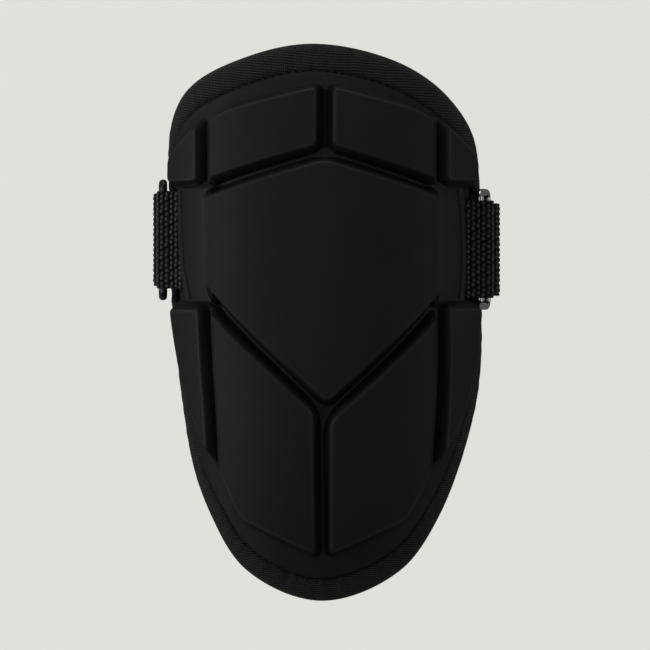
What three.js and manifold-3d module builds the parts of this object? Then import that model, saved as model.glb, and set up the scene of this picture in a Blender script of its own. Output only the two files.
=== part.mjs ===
// A baseball elbow guard: a moulded foam face with raised blocks on a padded knit backing that arches
// over the elbow, two doubled webbing tabs that each hold a ring, and a strap that closes round the arm.
// Millimetres. +X is the wearer's view of the right side, +Y the upper arm's end, +Z out of the face.
// The guard lies face up on its strap and on the lowest stretch of its rim, at z = 0.
import * as THREE from "three";
import { mergeVertices } from "three/addons/utils/BufferGeometryUtils.js";
import Module from "manifold-3d";

const wasm = await Module();
wasm.setup();

// The arched shell
const GUARD_LENGTH = 228.2;
const ARCH_HALF_WIDTH = 60;
const CREST_HEIGHT = 59;
const BACKING_THICKNESS = 6;
const RIM_WIDTH = 12;
const RIM_WIDTH_FOOT = 10;
const RIM_RISE = 3;

// The moulded face
const SHEET_THICKNESS = 2.7;
const BLOCK_RISE = 4.6;
const BLOCK_EDGE = 0.7;
const BLOCK_CORNER = 3;
const GROOVE_WIDTH = 8;
const GROOVE_SLOPE = 3;
const WING_DROP = 4;
const CLEARANCE = 0.3;

// The webbing tabs and their pockets
const TAB_WIDTH = 40;
const TAB_THICKNESS = 1.4;
const TAB_LAYER_GAP = 0.3;
const RECESS_MARGIN = 1.6;

// The rings
const RING_LENGTH = 49.6;
const RING_SPACING = 14.2;
const RING_WIRE = 3;
const RING_CORNER = 4;
const RING_HEIGHT = 4.6;
const RING_STANDOFF_LEFT = 3.6;
const RING_STANDOFF_RIGHT = 2.7;
const RING_LEAN_LEFT = 4.5;
const RING_LEAN_RIGHT = 11;
// How much wider the webbing's loops are than the bars in them
const TAB_SLACK_LEFT = 0;
const TAB_SLACK_RIGHT = 1.5;
const STRAP_SLACK_LEFT = 0.65;
const STRAP_SLACK_RIGHT = 1.1;

// The strap and its hook patch
const STRAP_WIDTH = 38;
const STRAP_THICKNESS = 1.5;
const PATCH_LENGTH = 40;
const PATCH_WIDTH = 34;
const PATCH_THICKNESS = 1.2;

// How finely curved pieces are faceted
const OUTLINE_POINTS = 70;
const FACET_LENGTH = 18;
const ROUND_STEPS = 8;
const TAB_STEPS = 18;
const CORNER_STEPS = 3;
const MERGE_DISTANCE = 1e-4;

const HALF_LENGTH = GUARD_LENGTH / 2;
const QUARTER_ARC = (ARCH_HALF_WIDTH * Math.PI) / 2;
const SHEET_TOP = CLEARANCE + SHEET_THICKNESS;
const BLOCK_TOP = SHEET_TOP + BLOCK_RISE;

// The arch, from the foot to the top. Along is a share of the half length. Left and right are how far
// the arch reaches to each side, in shares of its half width; depth is how far its sides come down, and
// crest how high its middle stands, in shares of the crest's height.
const ARCH = [
  { along: -1.0, left: 0.9, right: 0.9, depth: 0.76, crest: 0.56 },
  { along: -0.79, left: 0.9, right: 0.91, depth: 0.88, crest: 0.73 },
  { along: -0.64, left: 0.905, right: 0.93, depth: 0.94, crest: 0.823 },
  { along: -0.46, left: 0.92, right: 0.965, depth: 0.985, crest: 0.907 },
  { along: -0.28, left: 0.945, right: 0.998, depth: 0.995, crest: 0.959 },
  { along: -0.15, left: 0.97, right: 1.012, depth: 0.972, crest: 0.983 },
  { along: 0.09, left: 1.005, right: 1.015, depth: 0.835, crest: 0.999 },
  { along: 0.25, left: 1.01, right: 1.005, depth: 0.83, crest: 1.0 },
  { along: 0.44, left: 1.02, right: 1.005, depth: 0.83, crest: 0.988 },
  { along: 0.6, left: 1.03, right: 1.005, depth: 0.83, crest: 0.962 },
  { along: 0.8, left: 1.03, right: 1.0, depth: 0.81, crest: 0.899 },
  { along: 1.0, left: 1.03, right: 1.0, depth: 0.78, crest: 0.797 },
];

// The backing's edge, from the top to the foot: how far round the arch it goes on each side, in quarter
// turns from the crest. The first and the last row are the two ends.
const OUTLINE = [
  { along: 1.0, left: -0.05, right: -0.05 },
  { along: 0.945, left: -0.375, right: 0.305 },
  { along: 0.8, left: -0.785, right: 0.655 },
  { along: 0.6, left: -1.0, right: 0.944 },
  { along: 0.25, left: -1.056, right: 1.044 },
  { along: -0.12, left: -1.011, right: 1.011 },
  { along: -0.46, left: -0.856, right: 0.811 },
  { along: -0.7, left: -0.635, right: 0.625 },
  { along: -0.89, left: -0.4, right: 0.39 },
  { along: -1.0, left: -0.011, right: -0.011 },
];

// Where the strap crosses each side, and where the side grooves and the strap recess lie
const STRAP_ALONG = { left: 0.297, right: 0.263 };
const SIDE_GROOVE_ACROSS = 0.52;
const TOP_GROOVE_ACROSS = { left: -0.008, right: 0.032 };
const RECESS_ACROSS = { left: 0.77, right: 0.71 };
const TAB_ROOT_ACROSS = 0.6;
const TAB_BEND_ACROSS = 0.73;

const recessCentre = (HALF_LENGTH * (STRAP_ALONG.left + STRAP_ALONG.right)) / 2;
const recessHalf =
  TAB_WIDTH / 2 + (HALF_LENGTH * Math.abs(STRAP_ALONG.left - STRAP_ALONG.right)) / 2 + RECESS_MARGIN;
const recessTop = (recessCentre + recessHalf) / HALF_LENGTH;
const recessFoot = (recessCentre - recessHalf) / HALF_LENGTH;
// The side blocks' walls run down into the recess, so their cells end this far inside it
const SIDE_BLOCK_OVERHANG = 0.01;
const WING_OVERHANG = 0.045;
const WING_SETBACK = 1.2;
const PAST_EDGE = 1.1;
// A rounded corner takes up at most this share of the edge on either side of it
const MOST_OF_EDGE = 0.4;
// An octagon's bevel, in shares of its width
const OCTAGON_BEVEL = 0.29;
// Where the tab's layers part to go round the ring's bar, in radii of that bend before the bar
const TAB_PARTING = 3;

function recessAcross(side) {
  return side > 0 ? RECESS_ACROSS.right : RECESS_ACROSS.left;
}

// The block cells, anticlockwise. Cells meet along the middle of the grooves, and each side's are mirror
// images apart from the top groove, which lies a little to the right of the crest.
function topCell(side) {
  const inner = side > 0 ? TOP_GROOVE_ACROSS.right : -TOP_GROOVE_ACROSS.left;
  return [
    { across: inner, along: 0.605 },
    { across: SIDE_GROOVE_ACROSS, along: 0.473 },
    { across: SIDE_GROOVE_ACROSS, along: 0.73 },
    { across: 0.43, along: 0.775 },
    { across: inner, along: 0.865 },
  ];
}
const CENTRE_CELL = [
  { across: 0.004, along: -0.322 },
  { across: SIDE_GROOVE_ACROSS, along: 0.055 },
  { across: SIDE_GROOVE_ACROSS, along: 0.473 },
  { across: 0.012, along: 0.605 },
  { across: -SIDE_GROOVE_ACROSS, along: 0.473 },
  { across: -SIDE_GROOVE_ACROSS, along: 0.055 },
];
const LOWER_CELL = [
  { across: 0, along: -0.85 },
  { across: 0.4, along: -0.71 },
  { across: SIDE_GROOVE_ACROSS, along: -0.53 },
  { across: SIDE_GROOVE_ACROSS, along: 0.055 },
  { across: 0, along: -0.322 },
];
const UPPER_SIDE_CELL = [
  { across: SIDE_GROOVE_ACROSS, along: recessTop - SIDE_BLOCK_OVERHANG },
  { across: 0.815, along: recessTop - SIDE_BLOCK_OVERHANG },
  { across: 0.8, along: 0.6 },
  { across: SIDE_GROOVE_ACROSS, along: 0.755 },
];
const LOWER_SIDE_CELL = [
  { across: SIDE_GROOVE_ACROSS, along: -0.56 },
  { across: 0.71, along: -0.31 },
  { across: 0.78, along: -0.14 },
  { across: 0.83, along: recessFoot + SIDE_BLOCK_OVERHANG },
  { across: SIDE_GROOVE_ACROSS, along: recessFoot + SIDE_BLOCK_OVERHANG },
];

const archShares = new THREE.CubicInterpolant(
  ARCH.map((row) => row.along),
  ARCH.flatMap((row) => [row.left, row.right, row.depth, row.crest]),
  4,
);

// A point of the backing's top surface. Across counts quarter turns from the crest.
function archPoint(across, along) {
  const [left, right, depth, crest] = archShares.evaluate(along);
  const turn = (across * Math.PI) / 2;
  return new THREE.Vector3(
    ARCH_HALF_WIDTH * (across < 0 ? left : right) * Math.sin(turn),
    along * HALF_LENGTH,
    CREST_HEIGHT * (crest - depth * (1 - Math.cos(turn))),
  );
}

function archNormal(across, along) {
  const step = 1e-3;
  const round = archPoint(across + step, along).sub(archPoint(across - step, along));
  const down = archPoint(across, along + step).sub(archPoint(across, along - step));
  return round.cross(down).normalize();
}

// The flat pattern has x round the arch, y along it and z out of it. This bends one of its points.
function bentPoint(flat) {
  const across = flat.x / QUARTER_ARC;
  const along = flat.y / HALF_LENGTH;
  return archPoint(across, along).addScaledVector(archNormal(across, along), flat.z);
}

function flatPoint({ across, along }) {
  return new THREE.Vector2(across * QUARTER_ARC, along * HALF_LENGTH);
}

function mirrored(cell) {
  return cell.map(({ across, along }) => ({ across: -across, along })).reverse();
}

// The backing's edge in the flat pattern, anticlockwise
function edgeOutline() {
  const rightSide = [...OUTLINE].reverse().map((row) => ({ across: row.right, along: row.along }));
  const leftSide = OUTLINE.slice(1, -1).map((row) => ({ across: row.left, along: row.along }));
  const knots = [...rightSide, ...leftSide].map(flatPoint);
  const curve = new THREE.CatmullRomCurve3(
    knots.map((knot) => new THREE.Vector3(knot.x, knot.y, 0)),
    true,
    "centripetal",
  );
  const points = curve.getSpacedPoints(OUTLINE_POINTS);
  points.pop();
  return points.map((point) => new THREE.Vector2(point.x, point.y));
}

// An anticlockwise outline moved inwards. The distance may be a function of the point.
function inset(outline, distance) {
  return outline.map((point, i) => {
    const before = outline[(i + outline.length - 1) % outline.length];
    const after = outline[(i + 1) % outline.length];
    const inOne = point.clone().sub(before).normalize().rotateAround(new THREE.Vector2(), Math.PI / 2);
    const inTwo = after.clone().sub(point).normalize().rotateAround(new THREE.Vector2(), Math.PI / 2);
    const reach = typeof distance === "function" ? distance(point) : distance;
    const mitre = reach / (1 + inOne.dot(inTwo));
    return point.clone().addScaledVector(inOne.add(inTwo), mitre);
  });
}

// How far in from the backing's edge the face begins, plus a little more
function rimInset(more) {
  return (p) => {
    const share = THREE.MathUtils.clamp(-p.y / HALF_LENGTH, 0, 1);
    return THREE.MathUtils.lerp(RIM_WIDTH, RIM_WIDTH_FOOT, share) + more;
  };
}

function scaledAbout(outline, centre, share) {
  return outline.map((point) => centre.clone().lerp(point, share));
}

function roundedCorners(outline, radius) {
  return outline.flatMap((corner, i) => {
    const before = outline[(i + outline.length - 1) % outline.length];
    const after = outline[(i + 1) % outline.length];
    const from = corner.clone().lerp(before, Math.min(MOST_OF_EDGE, radius / corner.distanceTo(before)));
    const to = corner.clone().lerp(after, Math.min(MOST_OF_EDGE, radius / corner.distanceTo(after)));
    const middle = from.clone().add(to).multiplyScalar(0.25).addScaledVector(corner, 0.5);
    return [from, middle, to];
  });
}

// A closed solid in the flat pattern, from rings of equal count, lowest first. Where the rings grow or
// shrink, their faces are split alike, so that a sheet and what it lies on have matching facets.
function stackedRings(rings) {
  const count = rings[0].outline.length;
  const points = rings.flatMap(({ outline, height }) =>
    outline.map((p) => new THREE.Vector3(p.x, p.y, typeof height === "function" ? height(p) : height)),
  );
  const triangles = [];
  for (let ring = 0; ring + 1 < rings.length; ring++) {
    const shrinks = rings[ring].outline[0].length() > rings[ring + 1].outline[0].length();
    for (let i = 0; i < count; i++) {
      const low = ring * count + i;
      const next = ring * count + ((i + 1) % count);
      if (shrinks) triangles.push([low, next, low + count], [next, next + count, low + count]);
      else triangles.push([low, next, next + count], [low, next + count, low + count]);
    }
  }
  const top = (rings.length - 1) * count;
  for (const [a, b, c] of THREE.ShapeUtils.triangulateShape(rings[0].outline, [])) triangles.push([c, b, a]);
  for (const [a, b, c] of THREE.ShapeUtils.triangulateShape(rings.at(-1).outline, []))
    triangles.push([top + a, top + b, top + c]);
  return { points, triangles };
}

// Splits every edge that is longer than a facet may be, the same way on both of its sides
function refined({ points, triangles }) {
  const middles = new Map();
  const middle = (a, b) => {
    if (points[a].distanceTo(points[b]) <= FACET_LENGTH) return -1;
    const key = Math.min(a, b) + "," + Math.max(a, b);
    if (!middles.has(key)) middles.set(key, points.push(points[a].clone().lerp(points[b], 0.5)) - 1);
    return middles.get(key);
  };
  const split = triangles.flatMap((triangle) => {
    const cuts = [0, 1, 2].map((i) => middle(triangle[i], triangle[(i + 1) % 3]));
    const many = cuts.filter((cut) => cut >= 0).length;
    if (many === 0) return [triangle];
    const start = many === 2 ? (cuts.indexOf(-1) + 1) % 3 : cuts.findIndex((cut) => cut >= 0);
    const [a, b, c] = [0, 1, 2].map((i) => triangle[(start + i) % 3]);
    const [ab, bc, ca] = [0, 1, 2].map((i) => cuts[(start + i) % 3]);
    if (many === 1) return [[a, ab, c], [ab, b, c]];
    if (many === 2) return [[ab, b, bc], [a, ab, bc], [a, bc, c]];
    return [[a, ab, ca], [ab, b, bc], [bc, c, ca], [ab, bc, ca]];
  });
  const solid = { points, triangles: split };
  return middles.size ? refined(solid) : solid;
}

function solidOfMesh({ points, triangles }) {
  const vertProperties = new Float32Array(points.flatMap((p) => [p.x, p.y, p.z]));
  const triVerts = new Uint32Array(triangles.flat());
  return new wasm.Manifold(new wasm.Mesh({ numProp: 3, vertProperties, triVerts }));
}

function bentSolid({ points, triangles }) {
  return solidOfMesh({ points: points.map(bentPoint), triangles });
}

// A geometry's points and triangles, with the points that share a place made one
function meshOf(geometry) {
  const bare = new THREE.BufferGeometry().setAttribute("position", geometry.getAttribute("position"));
  const merged = mergeVertices(bare, MERGE_DISTANCE);
  const position = merged.getAttribute("position");
  const points = [];
  for (let i = 0; i < position.count; i++) points.push(new THREE.Vector3().fromBufferAttribute(position, i));
  const triangles = [];
  for (let i = 0; i < merged.index.count; i += 3)
    triangles.push([merged.index.getX(i), merged.index.getX(i + 1), merged.index.getX(i + 2)]);
  return { points, triangles };
}

function geometryOf(solid) {
  const mesh = solid.getMesh();
  const positions = new Float32Array(mesh.numVert * 3);
  for (let i = 0; i < mesh.numVert; i++) {
    const start = i * mesh.numProp;
    positions.set(mesh.vertProperties.subarray(start, start + 3), i * 3);
  }
  const geometry = new THREE.BufferGeometry();
  geometry.setAttribute("position", new THREE.BufferAttribute(positions, 3));
  geometry.setIndex(new THREE.BufferAttribute(mesh.triVerts, 1));
  geometry.computeVertexNormals();
  return geometry;
}

const GUARD_EDGE = edgeOutline();
const PATTERN_CENTRE = new THREE.Vector2(0, 0);
const INNER_SHARES = [0.12, 0.26, 0.4, 0.55, 0.7, 0.85];

// Rings of one outline that grow from the pattern's centre, all at one height
function growingRings(outline, height) {
  return INNER_SHARES.map((share) => ({ outline: scaledAbout(outline, PATTERN_CENTRE, share), height }));
}

// The padded backing: a wall that bends over the arm, with a rolled rim that stands up round the face
function backingSolid() {
  const rollRadius = (BACKING_THICKNESS + RIM_RISE) / 2;
  const rollCentre = RIM_RISE - rollRadius;
  const under = inset(GUARD_EDGE, rollRadius);
  const roll = [];
  for (let step = 0; step <= ROUND_STEPS; step++) {
    const turn = Math.PI * (step / ROUND_STEPS - 0.5);
    roll.push({
      outline: inset(GUARD_EDGE, rollRadius * (1 - Math.cos(turn))),
      height: rollCentre + rollRadius * Math.sin(turn),
    });
  }
  const seat = inset(GUARD_EDGE, rimInset(-CLEARANCE));
  return bentSolid(
    stackedRings([
      ...growingRings(under, -BACKING_THICKNESS),
      ...roll,
      { outline: inset(GUARD_EDGE, rimInset(-rollRadius / 2)), height: RIM_RISE - CLEARANCE },
      { outline: seat, height: RIM_RISE / 2 },
      { outline: seat, height: 0 },
      ...growingRings(seat, 0).reverse(),
    ]),
  );
}

function sheetSolid() {
  const edge = inset(GUARD_EDGE, rimInset(0));
  const rounded = inset(GUARD_EDGE, rimInset(SHEET_THICKNESS / 4));
  return bentSolid(
    stackedRings([
      ...growingRings(edge, CLEARANCE),
      { outline: edge, height: CLEARANCE },
      { outline: edge, height: SHEET_TOP - SHEET_THICKNESS / 4 },
      { outline: rounded, height: SHEET_TOP },
      ...growingRings(rounded, SHEET_TOP).reverse(),
    ]),
  );
}

// The room over the sheet that the blocks keep to, clear of the rim
function blockRoom() {
  const edge = inset(GUARD_EDGE, rimInset(SHEET_THICKNESS / 4));
  const low = CLEARANCE + SHEET_THICKNESS / 4;
  const high = BLOCK_TOP + BLOCK_RISE;
  return bentSolid(
    stackedRings([
      ...growingRings(edge, low),
      { outline: edge, height: low },
      { outline: edge, height: high },
      ...growingRings(edge, high).reverse(),
    ]),
  );
}

// One raised block over a cell: walls that slope up from the middle of the grooves, and a soft top edge
function raisedBlock(cellLine, topAt) {
  const foot = GROOVE_WIDTH / 2 - GROOVE_SLOPE;
  const brow = GROOVE_WIDTH / 2;
  const ring = (distance, corner, height) => ({
    outline: roundedCorners(inset(cellLine, distance), corner),
    height,
  });
  return bentSolid(
    refined(
      stackedRings([
        ring(foot, BLOCK_CORNER + GROOVE_SLOPE, CLEARANCE + SHEET_THICKNESS / 3),
        ring(foot, BLOCK_CORNER + GROOVE_SLOPE, SHEET_TOP),
        ring(brow - BLOCK_EDGE, BLOCK_CORNER + BLOCK_EDGE, (p) => topAt(p) - BLOCK_EDGE),
        ring(brow + BLOCK_EDGE, BLOCK_CORNER, topAt),
      ]),
    ),
  );
}

function blockSolid(cell) {
  return raisedBlock(cell.map(flatPoint), () => BLOCK_TOP);
}

// The centre block's sloping side, which runs down from its crease to the strap recess
function wingSolid(side) {
  const crease = SIDE_GROOVE_ACROSS * QUARTER_ARC - GROOVE_WIDTH / 2 - BLOCK_EDGE;
  const reach = (recessAcross(side) + WING_OVERHANG) * QUARTER_ARC;
  const halfLine = recessHalf + GROOVE_WIDTH / 2 - WING_SETBACK;
  const [inner, outer] = [crease - GROOVE_WIDTH / 2, reach + GROOVE_WIDTH / 2];
  const line = [
    [inner, recessCentre - halfLine],
    [outer, recessCentre - halfLine],
    [outer, recessCentre + halfLine],
    [inner, recessCentre + halfLine],
  ].map(([x, y]) => new THREE.Vector2(side * x, y));
  if (side < 0) line.reverse();
  const topAt = (p) => BLOCK_TOP - THREE.MathUtils.mapLinear(Math.abs(p.x), crease, reach, 0, WING_DROP);
  return raisedBlock(line, topAt);
}

// What is cut out of the face where the strap leaves it
function recessSolid(side) {
  const [inner, outer] = [recessAcross(side) * QUARTER_ARC, PAST_EDGE * QUARTER_ARC];
  const high = BLOCK_TOP + 2 * BLOCK_RISE;
  const profile = [
    [inner, -SHEET_TOP],
    [outer, -SHEET_TOP],
    [outer, high],
    [inner, high],
  ].map(([x, height]) => new THREE.Vector2(side * x, height));
  return bentSolid(refined(meshOf(drawnOut(profile, 2 * recessHalf, () => recessCentre))));
}

// A flat polyline moved sideways by a distance, to its left where that is positive
function shifted(path, distance) {
  return path.map((point, i) => {
    const before = path[Math.max(i - 1, 0)];
    const after = path[Math.min(i + 1, path.length - 1)];
    const along = after.clone().sub(before).normalize();
    return point.clone().add(new THREE.Vector2(-along.y, along.x).multiplyScalar(distance));
  });
}

// A profile in x and z, drawn out along y, whose middle may move along y as it crosses in x
function drawnOut(profile, width, middleAt) {
  const shape = new THREE.Shape(profile);
  const geometry = new THREE.ExtrudeGeometry(shape, { depth: width, bevelEnabled: false, steps: 1 });
  geometry.deleteAttribute("normal");
  geometry.deleteAttribute("uv");
  const position = geometry.getAttribute("position");
  for (let i = 0; i < position.count; i++) {
    const [x, z, y] = [position.getX(i), position.getY(i), position.getZ(i)];
    position.setXYZ(i, x, middleAt(x) + width / 2 - y, z);
  }
  return geometry;
}

function ribbonGeometry(path, thickness, width, middleAt) {
  const outline = [...shifted(path, thickness / 2), ...shifted(path, -thickness / 2).reverse()];
  return drawnOut(outline, width, middleAt);
}

// Each side's tab, ring and strap share one height on the arm. Side is 1 at the right and -1 at the left.
function sideMiddle(side) {
  return HALF_LENGTH * (side > 0 ? STRAP_ALONG.right : STRAP_ALONG.left);
}

// The middles of a ring's bars in x and z: the upper one in the tab's loop, the lower one in the strap's
function ringBars(side) {
  const along = sideMiddle(side) / HALF_LENGTH;
  const rim = Math.abs(archPoint(side, along).x) + RIM_RISE;
  const standoff = side > 0 ? RING_STANDOFF_RIGHT : RING_STANDOFF_LEFT;
  const lean = THREE.MathUtils.degToRad(side > 0 ? RING_LEAN_RIGHT : RING_LEAN_LEFT);
  const lower = new THREE.Vector2(side * (rim + standoff), RING_HEIGHT);
  const up = new THREE.Vector2(-side * Math.sin(lean), Math.cos(lean));
  return { lower, upper: lower.clone().addScaledVector(up, RING_SPACING) };
}

// The tab's loop round the upper bar, which lies against its inner side
function tabLoop(side) {
  const slack = side > 0 ? TAB_SLACK_RIGHT : TAB_SLACK_LEFT;
  const centre = ringBars(side).upper.clone();
  centre.x += side * slack;
  return { centre, radius: RING_WIRE / 2 + CLEARANCE + TAB_THICKNESS / 2 + slack };
}

// The strap's loop round the lower bar, which lies on the table
function strapLoop(side) {
  const slack = side > 0 ? STRAP_SLACK_RIGHT : STRAP_SLACK_LEFT;
  const radius = RING_WIRE / 2 + CLEARANCE + STRAP_THICKNESS / 2 + slack;
  const { lower } = ringBars(side);
  const height = radius + STRAP_THICKNESS / 2;
  const out = Math.sqrt(Math.max(slack ** 2 - (lower.y - height) ** 2, 0));
  return { centre: new THREE.Vector2(lower.x + side * out, height), radius };
}

// A doubled loop of webbing from its sewn root, round the ring's upper bar and back, in x and z
function tabPath(side) {
  const along = sideMiddle(side) / HALF_LENGTH;
  const sewn = [];
  const sewnSteps = ROUND_STEPS / 2;
  for (let step = 0; step <= sewnSteps; step++) {
    const across = THREE.MathUtils.lerp(TAB_ROOT_ACROSS, TAB_BEND_ACROSS, step / sewnSteps);
    const point = archPoint(side * across, along);
    sewn.push(new THREE.Vector2(point.x, point.z));
  }
  const { centre, radius } = tabLoop(side);
  const last = sewn.at(-1);
  const towards = centre.clone().sub(last).normalize();
  const free = centre.clone().addScaledVector(towards, -TAB_PARTING * radius);
  const middle = new THREE.SplineCurve([...sewn, last.clone().lerp(free, 0.5), free]).getPoints(TAB_STEPS);
  const out = (side * (TAB_THICKNESS + TAB_LAYER_GAP)) / 2;
  const round = [];
  const away = new THREE.Vector2(-towards.y, towards.x).multiplyScalar(side);
  for (let step = 0; step <= ROUND_STEPS * 2; step++) {
    const turn = (Math.PI * step) / (ROUND_STEPS * 2);
    const point = centre.clone().addScaledVector(away, radius * Math.cos(turn));
    round.push(point.addScaledVector(towards, radius * Math.sin(turn)));
  }
  return [...shifted(middle, out), ...round, ...shifted(middle, -out).reverse()];
}

function tabGeometry(side) {
  return ribbonGeometry(tabPath(side), TAB_THICKNESS, TAB_WIDTH, () => sideMiddle(side));
}

// The room that a tab needs between the face and the backing
function tabPocket(side) {
  const path = tabPath(side);
  const outer = shifted(path, side * (TAB_THICKNESS / 2 + CLEARANCE));
  const start = path[1].clone().sub(path[0]).normalize().multiplyScalar(-CLEARANCE);
  outer[0].add(start);
  outer.at(-1).add(start);
  return solidOfMesh(meshOf(drawnOut(outer, TAB_WIDTH + 2 * CLEARANCE, () => sideMiddle(side))));
}

function faceGeometry(cuts) {
  const cells = [CENTRE_CELL, topCell(1), mirrored(topCell(-1))];
  for (const cell of [LOWER_CELL, UPPER_SIDE_CELL, LOWER_SIDE_CELL]) cells.push(cell, mirrored(cell));
  let blocks = wingSolid(-1).add(wingSolid(1));
  for (const cell of cells) blocks = blocks.add(blockSolid(cell));
  let face = sheetSolid().add(blocks.intersect(blockRoom()));
  for (const side of [-1, 1]) face = face.subtract(recessSolid(side));
  for (const cut of cuts) face = face.subtract(cut);
  return geometryOf(face);
}

function backingGeometry(cuts) {
  let backing = backingSolid();
  for (const cut of cuts) backing = backing.subtract(cut);
  return geometryOf(backing);
}

// A rectangular loop of round wire, lying flat, with its short side along x and its long side along y
function ringGeometry(wire) {
  const bevel = wire * OCTAGON_BEVEL;
  const outline = (width, length, corner) => {
    const path = new THREE.Path();
    const [x, y] = [width / 2, length / 2];
    path.moveTo(x, -y + corner);
    path.lineTo(x, y - corner);
    path.absarc(x - corner, y - corner, corner, 0, Math.PI / 2);
    path.lineTo(-x + corner, y);
    path.absarc(-x + corner, y - corner, corner, Math.PI / 2, Math.PI);
    path.lineTo(-x, -y + corner);
    path.absarc(-x + corner, -y + corner, corner, Math.PI, Math.PI * 1.5);
    path.lineTo(x - corner, -y);
    path.absarc(x - corner, -y + corner, corner, Math.PI * 1.5, Math.PI * 2);
    return path;
  };
  const flat = wire - 2 * bevel;
  const barLength = RING_LENGTH - RING_WIRE;
  const corner = RING_CORNER - RING_WIRE / 2;
  const edge = outline(RING_SPACING + flat, barLength + flat, corner + flat / 2);
  const shape = new THREE.Shape(edge.getPoints(CORNER_STEPS));
  const hole = outline(RING_SPACING - flat, barLength - flat, corner - flat / 2);
  shape.holes.push(new THREE.Path(hole.getPoints(CORNER_STEPS).reverse()));
  const geometry = new THREE.ExtrudeGeometry(shape, {
    depth: flat,
    bevelEnabled: true,
    bevelThickness: bevel,
    bevelSize: bevel,
    bevelSegments: 1,
    steps: 1,
  });
  geometry.translate(0, 0, -flat / 2);
  return geometry;
}

function placedRing(side, wire) {
  const { lower, upper } = ringBars(side);
  const middle = lower.clone().add(upper).multiplyScalar(0.5);
  const geometry = ringGeometry(wire);
  geometry.rotateY(Math.atan2(lower.y - upper.y, upper.x - lower.x));
  geometry.translate(middle.x, sideMiddle(side), middle.y);
  return geometry;
}

// The dent that a ring makes where it lies against the foam and the soft rim
function ringDent(side) {
  return solidOfMesh(meshOf(placedRing(side, RING_WIRE + 2 * CLEARANCE)));
}

// The strap's middle moves along y as it crosses from one ring to the other
function strapMiddle(x) {
  const left = ringBars(-1).lower.x;
  const right = ringBars(1).lower.x;
  return THREE.MathUtils.mapLinear(x, left, right, sideMiddle(-1), sideMiddle(1));
}

// Heights of the strap's layers over the table
const layerLow = STRAP_THICKNESS / 2;
const layerReturn = layerLow + STRAP_THICKNESS + CLEARANCE;
const patchMiddle = STRAP_THICKNESS + CLEARANCE + PATCH_THICKNESS / 2;
const layerHigh = patchMiddle + PATCH_THICKNESS / 2 + CLEARANCE + STRAP_THICKNESS / 2;
// Where the strap's ends and steps lie, in shares of the distance to the ring on that side
const STRAP_STEPS = {
  returnEnd: 0.6,
  returnStart: 0.9,
  riseStart: -0.22,
  riseEnd: 0.02,
  patchStart: 0.15,
  tailEnd: 0.08,
  highEnd: 0.92,
};
// How high up its inner side the strap's loop begins, in degrees
const STRAP_TOUCH = 30;

function strapPath() {
  const left = ringBars(-1).lower;
  const right = ringBars(1).lower;
  const at = (share, z) => new THREE.Vector2(share * (share < 0 ? -left.x : right.x), z);
  const round = ({ centre, radius }, from, to) => {
    const arc = [];
    for (let step = 0; step <= ROUND_STEPS * 2; step++) {
      const turn = THREE.MathUtils.degToRad(THREE.MathUtils.lerp(from, to, step / (ROUND_STEPS * 2)));
      arc.push(new THREE.Vector2(centre.x + radius * Math.cos(turn), centre.y + radius * Math.sin(turn)));
    }
    return arc;
  };
  const { returnEnd, returnStart, riseStart, riseEnd, tailEnd, highEnd } = STRAP_STEPS;
  return [
    at(-returnEnd, layerReturn),
    at(-returnStart, layerReturn),
    ...round(strapLoop(-1), STRAP_TOUCH, 270),
    at(riseStart, layerLow),
    at(riseEnd, layerHigh),
    at(highEnd, layerHigh),
    ...round(strapLoop(1), 180 - STRAP_TOUCH, -90),
    at(tailEnd, layerLow),
  ];
}

function strapGeometry() {
  return ribbonGeometry(strapPath(), STRAP_THICKNESS, STRAP_WIDTH, strapMiddle);
}

function patchGeometry() {
  const start = STRAP_STEPS.patchStart * ringBars(1).lower.x;
  const path = [new THREE.Vector2(start, patchMiddle), new THREE.Vector2(start + PATCH_LENGTH, patchMiddle)];
  return ribbonGeometry(path, PATCH_THICKNESS, PATCH_WIDTH, strapMiddle);
}

function piece(name, geometry, color, roughness, metalness = 0) {
  const mesh = new THREE.Mesh(geometry, new THREE.MeshStandardMaterial({ color, roughness, metalness }));
  mesh.name = name;
  return mesh;
}

const cuts = [-1, 1].flatMap((side) => [tabPocket(side), ringDent(side)]);
const guard = new THREE.Group();
guard.add(piece("molded_face", faceGeometry(cuts), 0x151617, 0.72));
guard.add(piece("fabric_backing", backingGeometry(cuts), 0x121314, 0.95));
guard.add(piece("left_tab", tabGeometry(-1), 0x17181a, 0.85));
guard.add(piece("right_tab", tabGeometry(1), 0x17181a, 0.85));
guard.add(piece("left_ring", placedRing(-1, RING_WIRE), 0x101113, 0.25));
guard.add(piece("right_ring", placedRing(1, RING_WIRE), 0xd8dadd, 0.12, 1));
guard.add(piece("strap", strapGeometry(), 0x17181a, 0.85));
guard.add(piece("hook_patch", patchGeometry(), 0x1c1d1f, 0.95));

export default guard;
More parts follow.
